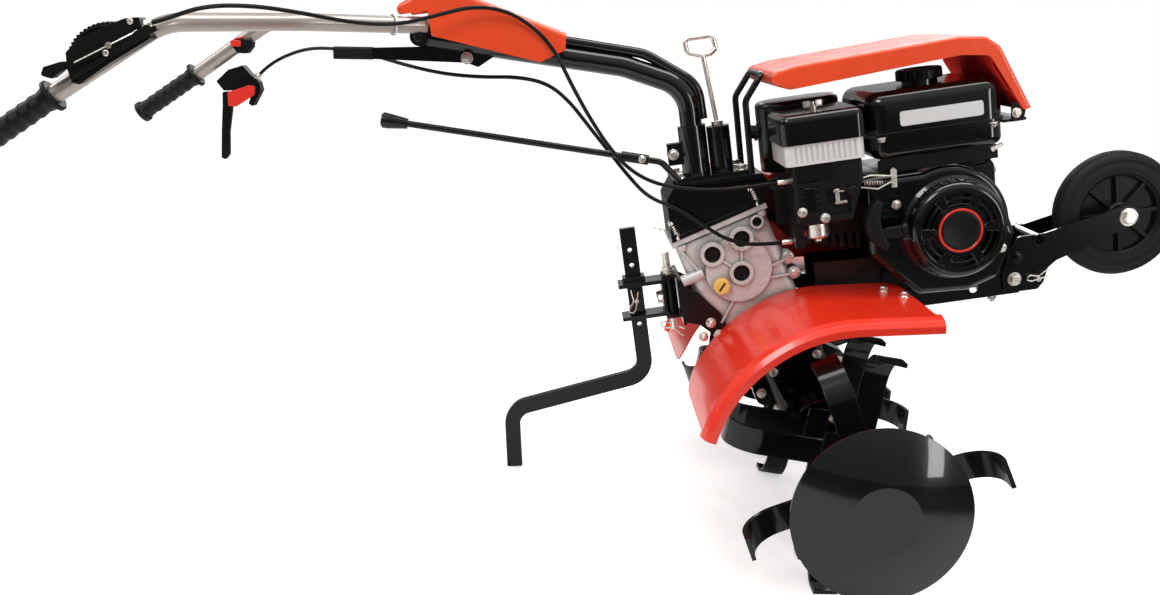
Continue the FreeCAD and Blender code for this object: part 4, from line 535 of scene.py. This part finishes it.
def add_lathe(out, profile, matrix, sides=32):
    """Rings of (radius, height) points round the matrix's Z axis; ends on the axis close."""
    rings = []
    for radius, height in profile:
        if radius < 1e-6:
            rings.append([out.verts.new(matrix @ Vector((0, 0, height)))])
            continue
        ring = []
        for step in range(sides):
            angle = tau * step / sides
            point = Vector((radius * cos(angle), radius * sin(angle), height))
            ring.append(out.verts.new(matrix @ point))
        rings.append(ring)
    for low, high in zip(rings, rings[1:]):
        for step in range(sides):
            ahead = (step + 1) % sides
            corners = []
            for ring, index in ((low, step), (low, ahead), (high, ahead), (high, step)):
                corner = ring[index] if len(ring) > 1 else ring[0]
                if corner not in corners:
                    corners.append(corner)
            if len(corners) > 2:
                out.faces.new(corners)


def add_prism(out, outline, low, high, matrix, chamfer=0.0):
    """A closed flat outline (x, y) drawn up from low to high, its upper rim chamfered."""
    middle_x = sum(x for x, y in outline) / len(outline)
    middle_y = sum(y for x, y in outline) / len(outline)
    levels = [(low, 0.0), (high, 0.0)]
    if chamfer:
        levels = [(low, 0.0), (high - chamfer, 0.0), (high, chamfer)]
    rings = []
    for height, shrink in levels:
        ring = []
        for x, y in outline:
            scale = 1 - shrink / hypot(x - middle_x, y - middle_y)
            point = Vector((middle_x + (x - middle_x) * scale,
                            middle_y + (y - middle_y) * scale, height))
            ring.append(out.verts.new(matrix @ point))
        rings.append(ring)
    add_walls(out, rings)


def add_tube(out, points, radius, sides=12, close=False):
    """A round rod through points, its corners mitred."""
    path = [Vector(point) for point in points]
    rings = []
    side = None
    for index, point in enumerate(path):
        ahead = back = None
        if index + 1 < len(path) or close:
            ahead = (path[(index + 1) % len(path)] - point).normalized()
        if index or close:
            back = (point - path[index - 1]).normalized()
        direction = back if ahead is None else ahead
        widen = 1.0
        if ahead is not None and back is not None:
            direction = (ahead + back).normalized()
            full = 1 / max(0.6, sqrt((1 + ahead.dot(back)) / 2))
            widen = 1 + (full - 1) * 0.5
        if side is None:
            side = direction.orthogonal().normalized()
        side = (side - direction * side.dot(direction)).normalized()
        other = direction.cross(side)
        ring = []
        for step in range(sides):
            angle = tau * step / sides
            spoke = side * cos(angle) + other * sin(angle)
            ring.append(out.verts.new(point + spoke * radius * widen))
        rings.append(ring)
    add_walls(out, rings + rings[:1] if close else rings, capped=not close)


def add_sheet(out, line, outward, thick, near, far):
    """A thin sheet that follows a line in the (x, z) plane, from one y to another."""
    skin = [point + outward * thick for point in line]
    outline = line + list(reversed(skin))
    rings = [[out.verts.new((point.x, y, point.z)) for point in outline] for y in (near, far)]
    add_walls(out, rings, capped=False)
    for step in range(len(line) - 1):
        last = len(outline) - 1 - step
        for ring in rings:
            out.faces.new((ring[step], ring[step + 1], ring[last - 1], ring[last]))


def add_bolt(out, centre, direction, flats, head, stud, spin):
    """A hexagon head with a raised crown, on a washer, and a stud's end if it is a nut."""
    matrix = facing(centre, direction, spin)
    corner = flats / sqrt(3)
    outer = corner * 1.28
    crown = 1.3 + head
    add_lathe(out, ((0, -0.3), (outer, -0.3), (outer, 1.1), (outer - 0.5, 1.6), (0, 1.6)),
              matrix, 28)
    add_prism(out, hexagon(corner), 1.3, crown, matrix, chamfer=0.9)
    if stud:
        add_lathe(out, ((0, crown - 1), (stud / 2, crown - 1), (stud / 2, crown + stud * 0.5),
                        (stud / 2 - 0.9, crown + stud * 0.6), (0, crown + stud * 0.6)), matrix, 20)
    else:
        add_lathe(out, ((corner * 0.8, crown - 0.2), (corner * 0.74, crown + 0.5),
                        (0, crown + 0.5)), matrix, 24)


def make_single(name, slot, adder, *details, **settings):
    """A piece of one shape, made by an adder from its details."""
    out = bmesh.new()
    adder(out, *details)
    return to_object(name, out, slot, **settings)


def make_bolts(name, rows, slot="zinc_steel", body="chassis"):
    """One piece of many bolts: (centre, direction, flats, head, stud) rows."""
    out = bmesh.new()
    for index, row in enumerate(rows):
        add_bolt(out, *row, spin=17 * index)
    to_object(name, out, slot, body)


def add_r_clip(out, centre, along, up, size):
    """A spring clip: one straight leg through a hole, one waved leg round the pin."""
    along = Vector(along).normalized()
    up = Vector(up).normalized()
    shape = ((22, 0), (-16, 0), (-24, 5), (-22, 12), (-14, 13), (-6, 9), (2, 6.5), (9, 9),
             (16, 12), (24, 15))
    points = [Vector(centre) + along * x * size + up * y * size for x, y in shape]
    add_tube(out, points, 1.5 * size, sides=8)


def add_spring(out, start, direction, length, radius, wire, turns):
    """A coil spring along a direction."""
    matrix = facing(start, direction)
    steps = turns * 10
    points = []
    for step in range(steps + 1):
        angle = tau * turns * step / steps
        coil = (radius * cos(angle), radius * sin(angle), length * step / steps)
        points.append(matrix @ Vector(coil))
    add_tube(out, points, wire, sides=6)


def add_tie(out, centre, along, radius):
    """A cable tie: a flat band with its head and a trimmed tail."""
    matrix = facing(centre, along)
    add_lathe(out, ((radius, -1.8), (radius + 1.2, -1.8), (radius + 1.2, 1.8), (radius, 1.8),
                    (radius, -1.8)), matrix, 28)
    for start, end, half, high, chamfer in ((0, 6, 3, 2.4, 0.5), (6, 15, 0.6, 1.4, 0)):
        add_prism(out, ((radius + start, -half), (radius + end, -half), (radius + end, half),
                        (radius + start, half)), -high, high, matrix, chamfer)


# ---- control cables ----

THROTTLE_ROUTE = (
    (-855.6, -312, 756), (-826, -311, 760), (-782, -290, 770), (-732, -250, 764),
    (-680, -204, 748), (-622, -154, 726), (-562, -118, 714), (-505, -104, 720),
    (-450, -98, 726), (-402, -94, 712), (-364, -91, 680), (-340, -88, 640),
    (-326, -80, 596), (-308, -76, 548), (-286, -76, 500), (-260, -76, 458), (-222, -76, 428),
    (-172, -78, 412), (-118, -84, 404), (-66, -90, 404), (-20, -90, 404))
CLUTCH_ROUTE = (
    (-885.7, 305, 664.8), (-866, 305, 680.5), (-822, 282, 696), (-766, 236, 703),
    (-705, 180, 694), (-640, 112, 676), (-580, 60, 652), (-520, 22, 632), (-460, -10, 620),
    (-405, -34, 614), (-360, -44, 598), (-331, -45, 566), (-308, -45, 526),
    (-283, -46, 484), (-258, -52, 442), (-232, -66, 406), (-192, -78, 386),
    (-158, -84, 358), (-124, -86, 328), (-78, -88, 311), (-22, -88, 311))
CABLE_RADIUS = 3.0


def smooth_route(route):
    """Points of one smooth line that the route's points steer."""
    data = bpy.data.curves.new("route", "CURVE")
    data.dimensions = "3D"
    spline = data.splines.new("NURBS")
    spline.points.add(len(route) - 1)
    for point, spot in zip(spline.points, route):
        point.co = (*place(*spot), 1.0)
    spline.order_u = 3
    spline.use_endpoint_u = True
    spline.resolution_u = 6
    holder = link_object("route", data)
    line = bpy.data.meshes.new_from_object(holder)
    points = [vertex.co.copy() for vertex in line.vertices]
    bpy.data.objects.remove(holder)
    bpy.data.meshes.remove(line)
    return points


def make_cable(name, node, route):
    """A sheathed cable along a smooth route between the handlebar and the chassis."""
    points = smooth_route(route)
    line = [(TO_LEVEL @ point) / MM for point in points]
    cable = make_single(name, "cable_sheath", add_tube, line, CABLE_RADIUS, smooth_angle=60)
    cable.parent = None
    cable.matrix_world = Matrix.Identity(4)
    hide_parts(node)
    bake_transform(cable)


def make_cables():
    """The throttle's and the clutch's control cables."""
    make_cable("throttle_cable_sheath", "throttle_cable", THROTTLE_ROUTE)
    make_cable("clutch_cable_sheath", "clutch_cable", CLUTCH_ROUTE)


# ---- the small pieces ----

def make_starter_details():
    """The red ring, blank badge and rope's end of the recoil starter."""
    matrix = facing(beside(CRANK, STARTER_FACE), RIGHT)
    make_single("starter_ring", "red_paint", add_lathe, (
        (29.5, -1.8), (33, -1.8), (33, 0.4), (32.3, 1.0), (30.2, 1.0), (29.5, 0.4),
        (29.5, -1.8)), matrix, 64)
    make_single("starter_badge", "black_plastic", add_lathe, (
        (0, -1.9), (29.3, -1.9), (29.3, 0.2), (28.4, 0.7), (26, 0.8), (24, 0.3), (0, 0.3)),
        matrix, 64)
    rope = bmesh.new()
    add_tube(rope, ((106, -150, 322), (140, -150, 322)), 2.4)
    add_lathe(rope, ((0, 0), (7, 0), (7, 4), (5, 7), (0, 7)), facing((137, -150, 321), BACK), 20)
    to_object("starter_rope", rope, "black_plastic")


def make_engine_bolts():
    """Bolts of the shroud, the carburettor's cover, the cylinder's foot and the bed."""
    rows = [(beside(spot, SHROUD_FACE), RIGHT, 10, 6, 0) for spot in
            ((134, 350), (267.4, 353.2), (204.7, 234), (288, 262))]
    rows += [(beside(spot, COVER_FACE), RIGHT, 10, 5, 0) for spot in ((-11, 362), (22, 349))]
    rows += [((x, side * 41, 236), TOP, 11, 7, 6) for x in (136, 284) for side in BOTH_SIDES]
    rows += [((x, side * 24, 165), DOWN, 12, 6, 7) for x in (140, 300) for side in BOTH_SIDES]
    make_bolts("engine_bolts", rows)


def make_wing_nut():
    """The nut that holds the air cleaner's cover."""
    wing = bmesh.new()
    top = (30, -82, CLEANER_TOP)
    add_lathe(wing, ((0, 0), (6, 0), (6, 5), (3, 6), (3, 11), (0, 11)), facing(top, TOP), 20)
    for side in BOTH_SIDES:
        add_prism(wing, ((4, -1.5), (13, -1.5), (15, 0), (13, 1.5), (4, 1.5)), 3, 13,
                  facing(top, TOP, 90 + 90 * side), 1.5)
    to_object("wing_nut", wing, "zinc_steel")


def make_fuel_tap():
    """The tap under the tank with its pipe, and the tap's lever."""
    tap = bmesh.new()
    add_lathe(tap, ((0, 0), (9, 0), (9, 14), (7, 16), (7, 26), (0, 26)),
              facing((284, -96, 425), DOWN), 24)
    add_tube(tap, ((284, -96, 402), (283, -98, 394), (276, -100, 389), (262, -101, 388),
                   (226, -101, 388)), 3.2)
    to_object("fuel_tap", tap, "black_plastic")
    knob = bmesh.new()
    centre = (286, -104, 414)
    add_lathe(knob, ((0, 0), (7, 0), (7, 8), (5, 10), (0, 10)), facing(centre, RIGHT), 20)
    add_prism(knob, ((-5, -3), (14, -2.5), (16, 0), (14, 2.5), (-5, 3)), 8, 12,
              facing(centre, RIGHT, 20), 0.8)
    to_object("fuel_tap_lever", knob, "zinc_steel")


def make_linkage():
    """The governor's arm with its rods and spring."""
    rods = bmesh.new()
    add_tube(rods, ((74, -128, 398), (96, -129, 402), (128, -122, 396)), 1.4, 8)
    add_tube(rods, ((78, -126, 386), (106, -127, 380), (132, -120, 388)), 1.4, 8)
    add_spring(rods, (84, -130, 392), (1, 0, -0.1), 30, 3, 0.7, 8)
    add_prism(rods, ((-4, -14), (4, -14), (5, 12), (0, 16), (-5, 12)), 0, 2.4,
              facing((132, -121, 392), RIGHT), 0.4)
    to_object("governor_rods", rods, "zinc_steel")


def make_carburettor_trim():
    """The ring round the fuel bowl, and the choke lever on its hub."""
    make_single("bowl_ring", "red_plastic", add_lathe, (
        (17.1, -1), (18.6, -1), (18.6, 5), (17.1, 5), (17.1, -1)), facing((14, -91, 319), TOP), 40)
    choke = bmesh.new()
    add_prism(choke, ((-4, -4), (4, -4), (3.5, 15), (5, 20), (0, 23), (-5, 20), (-3.5, 15)), 0, 4,
              facing((66, COVER_FACE - 0.2, 384), RIGHT, 64), 1)
    add_lathe(choke, ((0, 0), (8, 0), (8, 5), (6.5, 6.5), (0, 6.5)),
              facing((66, COVER_FACE + 0.2, 384), RIGHT), 28)
    to_object("choke_lever", choke, "black_plastic")


def make_engine_plugs():
    """The oil filler's plug, and the spark plug's cap with its lead."""
    make_single("oil_filler", "black_plastic", add_lathe, (
        (0, -2), (12, -2), (12, 4), (15, 5), (15, 11), (13, 13), (5, 13), (5, 20), (0, 20)),
        facing((BLOCK_FRONT, -34, 232), (1, 0, 0.35)), 24)
    plug = bmesh.new()
    add_lathe(plug, ((0, 0), (10, 0), (10, 14), (8, 18), (8, 34), (5, 38), (0, 38)),
              facing((-16, 26, 330), (-1, 0, 0.25)), 20)
    add_tube(plug, ((-50, 26, 340), (-62, 22, 352), (-60, 12, 372), (-40, 4, 392),
                    (4, 0, 404), (60, 0, 404)), 3.4)
    to_object("spark_lead", plug, "black_plastic")


def make_blank_plates():
    """A plain plate where the tank carries its stickers; nothing is printed on it."""
    make_single("tank_plate", "pale_plastic", add_prism, rounded(62, 11, 4), 0, 0.5,
                facing((209, TANK_FACE, 478), RIGHT), 0.2)


def make_gearbox_details():
    """Seals in the bearing bores, and the bolts of lugs, flanges and hitch."""
    seals = bmesh.new()
    for v, u, radius, y in ((-54.9, 331.1, 12.9, -60), (-3.9, 335.6, 12.9, -60),
                            (-24.4, 285.4, 12.9, -60), (28.4, 349.8, 7.3, -56)):
        add_lathe(seals, ((0, 0), (radius, 0), (radius, 4), (radius - 3, 4.6),
                          (radius - 4.5, 2.4), (3, 2.4), (2, 4), (0, 4)),
                  facing(beside(lean(v, u), y), RIGHT), 40)
    to_object("gearbox_seals", seals, "black_plastic")
    rows = []
    for side in BOTH_SIDES:
        face = (0, side, 0)
        rows += [(beside(lean(52, u), side * 58), face, 11, 7, 0) for u in (276, 250)]
        rows += [(beside(lean(v, u), side * 16), face, 11, 7, 0)
                 for v, u in ((68, 71), (-68, 71), (52, 36), (-52, 36))]
        rows += [(beside(lean(v, u), side * 38), face, 10, 6, 0)
                 for u in (104, 170) for v in (38, -38)]
        rows += [(beside(spot, side * HITCH_FACE), face, 11, 6, 7)
                 for spot in ((-158.5, 193), (-172.5, 172), (-148, 172))]
    make_bolts("transmission_bolts", rows)


def make_cover_studs():
    """The gearbox cover's studs with springs, their lugs, and the gasket's line."""
    stud_y = -56
    studs = bmesh.new()
    lugs = bmesh.new()
    up = (-sin(radians(GEAR_LEAN)), 0, cos(radians(GEAR_LEAN)))
    for v in (-94, 40):
        add_lathe(lugs, ((0, 0), (6.5, 3), (8, 8), (8, 12.5), (0, 12.5)),
                  facing(beside(lean(v, 350), stud_y), up), 24)
        start = beside(lean(v, 372.4), stud_y)
        add_lathe(studs, ((0, 0), (3, 0), (3, 33), (2.4, 34), (0, 34)), facing(start, up), 16)
        add_spring(studs, Vector(start) + Vector(up) * 8, up, 18, 5, 1.1, 5)
        for low, high in ((0, 6), (26, 31)):
            add_prism(studs, hexagon(6.2), low, high, facing(start, up), 0.8)
    to_object("cover_studs", studs, "zinc_steel")
    to_object("cover_stud_lugs", lugs, "cast_aluminium")
    make_single("gearbox_gasket", "black_plastic", add_prism,
                rounded(78.25, 60.8, 12, middle_x=-25.75), 361.8, 363,
                Matrix.Rotation(radians(-GEAR_LEAN), 4, "Y"))


def make_hitch_details():
    """Spring clips, the stake's pin, and the bolts of the rear hitch."""
    clips = bmesh.new()
    add_r_clip(clips, (-213, 0, 342), (0.3, -1, 0), (-1, -0.3, 0.2), 0.62)
    add_r_clip(clips, (-213, 0, 182), (1, -0.25, -0.5), (-0.4, 0.2, -1), 0.85)
    add_tube(clips, ((-269, -16, 233), (-269, 18, 233)), 3.6)
    add_r_clip(clips, (-269, -17, 232), (0.25, 0, 1), (-1, 0, 0.25), 0.8)
    to_object("hitch_clips", clips, "zinc_steel")
    rows = [((-226.2, side * 14, 232), BACK, 12, 7, 0) for side in BOTH_SIDES]
    make_bolts("hitch_bolts", rows + [((-213, 0, 270.2), TOP, 16, 8, 0)])


def make_rotor_details():
    """Two bolts at each blade's root, and the pins that lock the tine tubes."""
    for name, side in (("right", -1), ("left", 1)):
        rows = []
        for cross, back in enumerate(CROSS_TURNS):
            offset = side * (FIRST_CROSS + CROSS_STEP * cross)
            for step in range(4):
                angle = radians(FIRST_BLADE) + radians(90 * step - back)
                along = Vector((cos(angle), 0, sin(angle)))
                across = Vector((along.z, 0, -along.x))
                hand = -side if step % 2 else side
                for shift in (-4, 20):
                    centre = along * 33 + across * shift
                    rows.append(((centre.x, offset + hand * 9, centre.z), (0, hand, 0), 10, 5, 0))
        make_bolts("blade_bolts_" + name, rows, body="rotor")
        pins = bmesh.new()
        y = side * 84
        add_tube(pins, ((-24, y, 0), (24, y, 0)), 4)
        add_r_clip(pins, (25, y, 0), (0, 1, 0.2), FORWARDS, 0.55)
        to_object("tine_pin_" + name, pins, "zinc_steel", "rotor")


def make_fork_details():
    """Heads on the fork's bolts and pins, a spring clip, and the hub's dust caps."""
    rows = []
    for side in BOTH_SIDES:
        for shaft, flats in ((WHEEL, 19.5), (PIVOT, 15)):
            rows.append((beside(shaft, side * FORK_FACE), (0, side, 0), flats, 8, 0))
    make_bolts("fork_bolts", rows, body="fork")
    rows = [((337, side * FORK_FACE, 225), (0, side, 0), 13, 6, 6) for side in BOTH_SIDES]
    make_bolts("fork_stop_bolts", rows, "black_steel", "fork")
    clip = bmesh.new()
    add_r_clip(clip, beside(LOCK_PIN, -51.5), (1, 0, 0.18), (-0.18, 0, 1), 0.72)
    add_lathe(clip, ((0, 0), (9, 0), (9, 3), (7.5, 4.5), (0, 4.5)),
              facing(beside(LOCK_PIN, 46.5), LEFT), 28)
    to_object("lock_pin_clip", clip, "zinc_steel", "fork")
    caps = bmesh.new()
    for side in BOTH_SIDES:
        add_lathe(caps, ((8.2, -0.5), (15, -0.5), (15, 3), (12, 6), (8.2, 6), (8.2, -0.5)),
                  facing(beside(WHEEL, side * 23.5), (0, side, 0)))
    to_object("hub_caps", caps, "black_plastic", "wheel")


def make_tyre():
    """The solid tyre with its moulded lines and shallow circumferential grooves."""
    half = 19
    wall = ((65, 3.5), (67, 0), (70, 0.6), (72, 0), (82, 0), (83, 0.7), (85, 0.7), (86, 0),
            (89, 0), (93.5, 1.6), (96.8, 5), (97.6, 6.0), (96.6, 7.0), (96.6, 8.0), (98.6, 8.8),
            (99.4, 12))
    profile = [(radius, depth - half) for radius, depth in wall]
    for middle in (-5.5, 0, 5.5):
        profile += [(99.8, middle - 1.2), (98.2, middle - 0.8), (98.2, middle + 0.8),
                    (99.8, middle + 1.2)]
    profile += [(radius, half - depth) for radius, depth in reversed(wall)]
    tyre = make_single("tyre", "tyre", add_lathe, profile + [profile[0]],
                       facing(beside(WHEEL, 0), LEFT), 112, body="wheel", smooth_angle=50)
    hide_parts("front_tyre")


def make_handle_details():
    """Bolts of the bars and their arm, the brace tube, the switch's rocker and screws."""
    rows = [((-479, side * 9, 652), (0, side, 0), 13, 7, 7) for side in BOTH_SIDES]
    make_bolts("handle_bolts", rows, body="handlebar")
    rows = [((-540, side * 66.2, 694), (0, side, 0), 13, 5, 0) for side in BOTH_SIDES]
    make_bolts("yoke_bolts", rows, "black_steel", "handlebar")
    end = Vector((-297, 0, 648))
    ahead = Vector((-92, 0, 28)).normalized()
    make_single("brace_tube", "black_steel", add_tube, (end - ahead, end + ahead * 50), 8.05, 28,
                body="handlebar")
    rocker = bmesh.new()
    add_prism(rocker, rounded(9, 5.5, 3), -1, 4.5, facing((-901, 272.4, 729), RIGHT, -12), 1.2)
    add_prism(rocker, rounded(8, 9, 3), 0, 3.5, facing((-896, 284, 735.4), (-0.12, 0, 1)), 1.2)
    to_object("switch_rocker", rocker, "red_plastic", "handlebar")
    screws = bmesh.new()
    for spot in ((-866, 762), (-905, 728)):
        add_lathe(screws, ((0, -0.5), (4, -0.5), (4, 1.4), (3, 2.2), (1.2, 2.2), (1.2, 1.0),
                           (0, 1.0)), facing(beside(spot, -332), RIGHT), 20)
    to_object("lever_screws", screws, "zinc_steel", "handlebar")
    make_bolts("clutch_pin", [((-933, 304.6, 640), LEFT, 9, 4, 5)], body="handlebar")


def make_cable_details():
    """Ferrules and adjusters at the cables' ends, and the tie that holds them."""
    ends = bmesh.new()
    for route in (THROTTLE_ROUTE, CLUTCH_ROUTE):
        add_lathe(ends, ((0, 0), (4.2, 0), (4.2, 14), (3.4, 16), (0, 16)),
                  facing(route[-1], BACK), 20)
    to_object("cable_ferrules", ends, "zinc_steel")
    starts = bmesh.new()
    for route in (CLUTCH_ROUTE, THROTTLE_ROUTE):
        ahead = (Vector(route[1]) - Vector(route[0])).normalized()
        matrix = facing(route[0], ahead)
        add_lathe(starts, ((0, -6), (5, -6), (5, 8), (4, 10), (0, 10)), matrix, 20)
        add_prism(starts, hexagon(6.5), 1, 5, matrix, 0.6)
    to_object("cable_adjusters", starts, "zinc_steel", "handlebar")
    make_single("bar_tie", "pale_plastic", add_tie, (-572, -84, 716), (-164, -90, 28), 14.5,
                body="handlebar")


def make_frame_details():
    """The gussets between gearbox and engine bed, and the lip along the shroud's top."""
    gussets = bmesh.new()
    for side in BOTH_SIDES:
        add_prism(gussets, ((16, 196), (150, 190), (150, 256), (16, 262)), 0, 4,
                  facing((0, side * 40, 0), RIGHT))
    to_object("frame_gussets", gussets, "black_steel")
    make_single("shroud_lip", "black_steel", add_prism, (
        (112, 399), (292, 399), (292, 418), (286, 421), (118, 421), (112, 418)), 0, 2,
        facing((0, -112, 0), RIGHT), 0.4)


def make_hood_details():
    """Bolts on the hood's bracket, and the lining inside the hood's sloping front."""
    make_bolts("hood_bolts", [((320, -122, 463), RIGHT, 10, 5, 0),
                              ((320, 111, 463), LEFT, 10, 5, 0)])
    low, high = Vector((329.0, 0, 467.2)), Vector((284.9, 0, 551.4))
    rise = (high - low).normalized()
    inward = Vector((-rise.z, 0, rise.x))
    make_single("hood_lining", "red_plastic", add_sheet, [
        low, low.lerp(high, 0.34), low.lerp(high, 0.40) + inward * 3,
        low.lerp(high, 0.84) + inward * 3, low.lerp(high, 0.9), high], inward, 0.8, -123, 108)


def make_guard_details():
    """Bolts through the fronts of the mudguards' roofs, which slope down forwards."""
    roof_x, roof_z, slope, thick = 23.8, 226.8, 0.105, 2.2
    rows = []
    for side in BOTH_SIDES:
        for x, y in ((103, 120), (123, 160)):
            z = roof_z - slope * (x - roof_x) + thick
            rows.append(((x, side * y, z), (0.1045, 0, 0.9945), 11, 6, 0))
    make_bolts("guard_bolts", rows)


def make_sleeve_details():
    """Bolts of the column's sleeve, of its plate and of the gear lever's coupling."""
    rows = [((-181, side * 9.2, 459), (0, side, 0), 12, 6, 6 if side > 0 else 0)
            for side in BOTH_SIDES]
    rows += [((x, side * 34, 424), TOP, 13, 7, 0) for x in (-178, -80) for side in BOTH_SIDES]
    make_bolts("sleeve_bolts", rows + [((-234, -68, 466), RIGHT, 8, 4, 0)])


def make_belt_cover_details():
    """The belt cover's pressed bead, its flange bolts and its two hubs."""
    points = []
    for shaft, radius, start, end in ((CRANK, 56, -93, 84), (PULLEY, 70, 84, 267)):
        points += arc(beside(shaft, BELT_FACE), radius, start, end, 22)
    make_single("belt_cover_bead", "red_paint", add_tube, points, 3.2, 10, True, smooth_angle=60)
    rows = [(beside(spot, BELT_FACE), LEFT, 12, 6, 0) for spot in
            ((277, 307), (214, 368), (62, 376), (-98, 402), (-172, 326), (-98, 252), (70, 252),
             (214, 246))]
    make_bolts("belt_cover_bolts", rows)
    hubs = bmesh.new()
    for shaft in (CRANK, PULLEY):
        add_lathe(hubs, ((0, -0.5), (22, -0.5), (22, 0.8), (19, 2.2), (14, 2.2), (12, 1.0),
                         (0, 1.0)), facing(beside(shaft, BELT_FACE), LEFT), 48)
    to_object("belt_cover_hubs", hubs, "red_paint", smooth_angle=60)


def make_exhaust():
    """The muffler's outlet, its heat shield's screws, and the engine's rear bolts."""
    pipe = bmesh.new()
    matrix = facing((-36, 36, 470), (-1, 0, 0.2))
    tube = ((11, -4), (11, 16), (10.6, 17), (8.6, 17), (8.4, 16), (8.4, 2), (0, 2))
    add_lathe(pipe, tube, matrix)
    add_lathe(pipe, ((11, 3), (14, 3), (14, 6), (11, 6), (11, 3)), matrix)
    to_object("exhaust_outlet", pipe, "black_steel")
    rows = [((x, SHIELD_FACE, z), LEFT, 9, 4, 0) for z in (424, 500) for x in (10, 46)]
    rows += [((-20, y, z), BACK, 10, 5, 0) for y in (-34, 46) for z in (276, 380)]
    make_bolts("muffler_bolts", rows)


def make_tank_details():
    """Bolts under the tank's seam."""
    rows = [((x, y, 454.6), DOWN, 10, 5, 0) for y in (TANK_FACE, 59.4) for x in (118, 284)]
    make_bolts("tank_bolts", rows)


def make_starter_rims():
    """Raised rims round the starter's air slots, and ribs across its outer ring."""
    rims = bmesh.new()
    face = beside(CRANK, STARTER_FACE + 3.6)
    for middle in range(90, 450, 60):
        for inner in (40, 50):
            points = arc(face, inner + 6.9, middle - 22, middle + 22, 12)
            points += reversed(arc(face, inner - 0.9, middle - 22, middle + 22, 12))
            add_tube(rims, points, 1.3, sides=6, close=True)
    for degrees in range(5, 365, 10):
        if 140 < degrees < 215:
            continue
        angle = radians(degrees)
        spoke = Vector((cos(angle), 0, sin(angle)))
        add_tube(rims, (Vector(beside(CRANK, STARTER_FACE + 28)) + spoke * 73.4,
                        Vector(beside(CRANK, STARTER_FACE + 12)) + spoke * 71.6), 1.5, sides=6)
    to_object("starter_rims", rims, "gloss_black", smooth_angle=60)


def make_lever_details():
    """The lever box's tray, the ridges of its dial, and the bare inner wire."""
    tray = bmesh.new()
    add_prism(tray, ((-958, -700), (-956, -707), (-838, -753.5), (-835, -747)), -2, 3,
              Matrix.Translation((0, -326, 0)) @ Matrix.Rotation(radians(90), 4, "X")
              @ Matrix.Scale(-1, 4, (0, 1, 0)), 0.6)
    centre = Vector((-905, -322, 716))
    for reach in (0.68, 0.8, 0.9):
        points = []
        for step in range(17):
            angle = radians(168 - step * 100 / 16)
            points.append(centre + Vector((57 * reach * cos(angle), 0, 51 * reach * sin(angle))))
        add_tube(tray, points, 1.3, sides=6)
    to_object("lever_tray", tray, "black_plastic", "handlebar")
    wire = bmesh.new()
    add_tube(wire, ((-948, -330.5, 722), (-900, -330.8, 737), (-868, -330, 747),
                    (-856, -318, 755)), 1.0, 8)
    add_lathe(wire, ((0, 0), (4, 0), (4, 3), (0, 3)), facing((-900, -329.5, 737), RIGHT), 16)
    to_object("throttle_wire", wire, "zinc_steel", "handlebar")


def make_carburettor_details():
    """Ribs, a blank panel, and the choke and throttle levers on the carburettor's cover."""
    ribs = bmesh.new()
    for step in range(4):
        add_prism(ribs, rounded(29, 1.3, 1.2, 2), -0.5, 2.2,
                  facing((12, COVER_FACE, 410 + 6.5 * step), RIGHT), 0.5)
    add_prism(ribs, rounded(9, 17, 3), -0.5, 0.9, facing((2, COVER_FACE, 380), RIGHT), 0.4)
    to_object("carburettor_ribs", ribs, "gloss_black")
    levers = bmesh.new()
    for spot, outline, low, high in (((50, 388), rounded(13, 2.5, 2.4), 0, 2.5),
                                     ((42, 380), rounded(3, 11, 2.8), 2.5, 5),
                                     ((47, 370), rounded(9, 2, 1.8), 0, 3)):
        add_prism(levers, outline, low, high, facing(beside(spot, COVER_FACE - 0.2), RIGHT), 0.5)
    to_object("carburettor_levers", levers, "zinc_steel")


def make_arm_sleeve():
    """The rubber sleeve on the bars' arm, behind the cover."""
    ahead = Vector((58, 0, -9)).normalized()
    make_single("arm_sleeve", "grip_rubber", add_prism, rounded(12, 9.5, 3), 0, 60,
                facing((-681, 0, 688.5), ahead), 1.2, body="handlebar")


def make_plug_slot():
    """The slot across the oil plug."""
    make_single("plug_slot", "black_plastic", add_prism, rounded(8, 1.4, 1.2, 2), 0, 0.5,
                facing(beside(lean(-61, 279), PLUG_FACE - 0.1), RIGHT, 50))


def make_crankcase_details():
    """Ribs and cover bolts on the crankcase's front."""
    ribs = bmesh.new()
    for step in range(5):
        add_prism(ribs, rounded(1.8, 44, 1.7, 2), -1, 3,
                  facing((BLOCK_FRONT, -30 + 22 * step, 318), FORWARDS, 90), 0.8)
    to_object("crankcase_ribs", ribs, "engine_casting")
    rows = [((BLOCK_FRONT, y, z), FORWARDS, 11, 6, 0) for y in (-52, 70) for z in (256, 372)]
    make_bolts("crankcase_bolts", rows + [((BLOCK_FRONT, 30, 216), FORWARDS, 14, 7, 0)])


for make in (make_camera, make_light, make_world, make_floor, make_cables, dress_frame,
             make_starter_details, make_engine_bolts, make_wing_nut, make_fuel_tap, make_linkage,
             make_carburettor_trim, make_engine_plugs, make_blank_plates, make_gearbox_details,
             make_cover_studs, make_hitch_details, make_rotor_details, make_fork_details,
             make_tyre, make_handle_details, make_cable_details, make_frame_details,
             make_hood_details, make_guard_details, make_sleeve_details, make_belt_cover_details,
             make_exhaust, make_tank_details, make_starter_rims, make_lever_details,
             make_carburettor_details, make_arm_sleeve, make_plug_slot, make_crankcase_details):
    make()
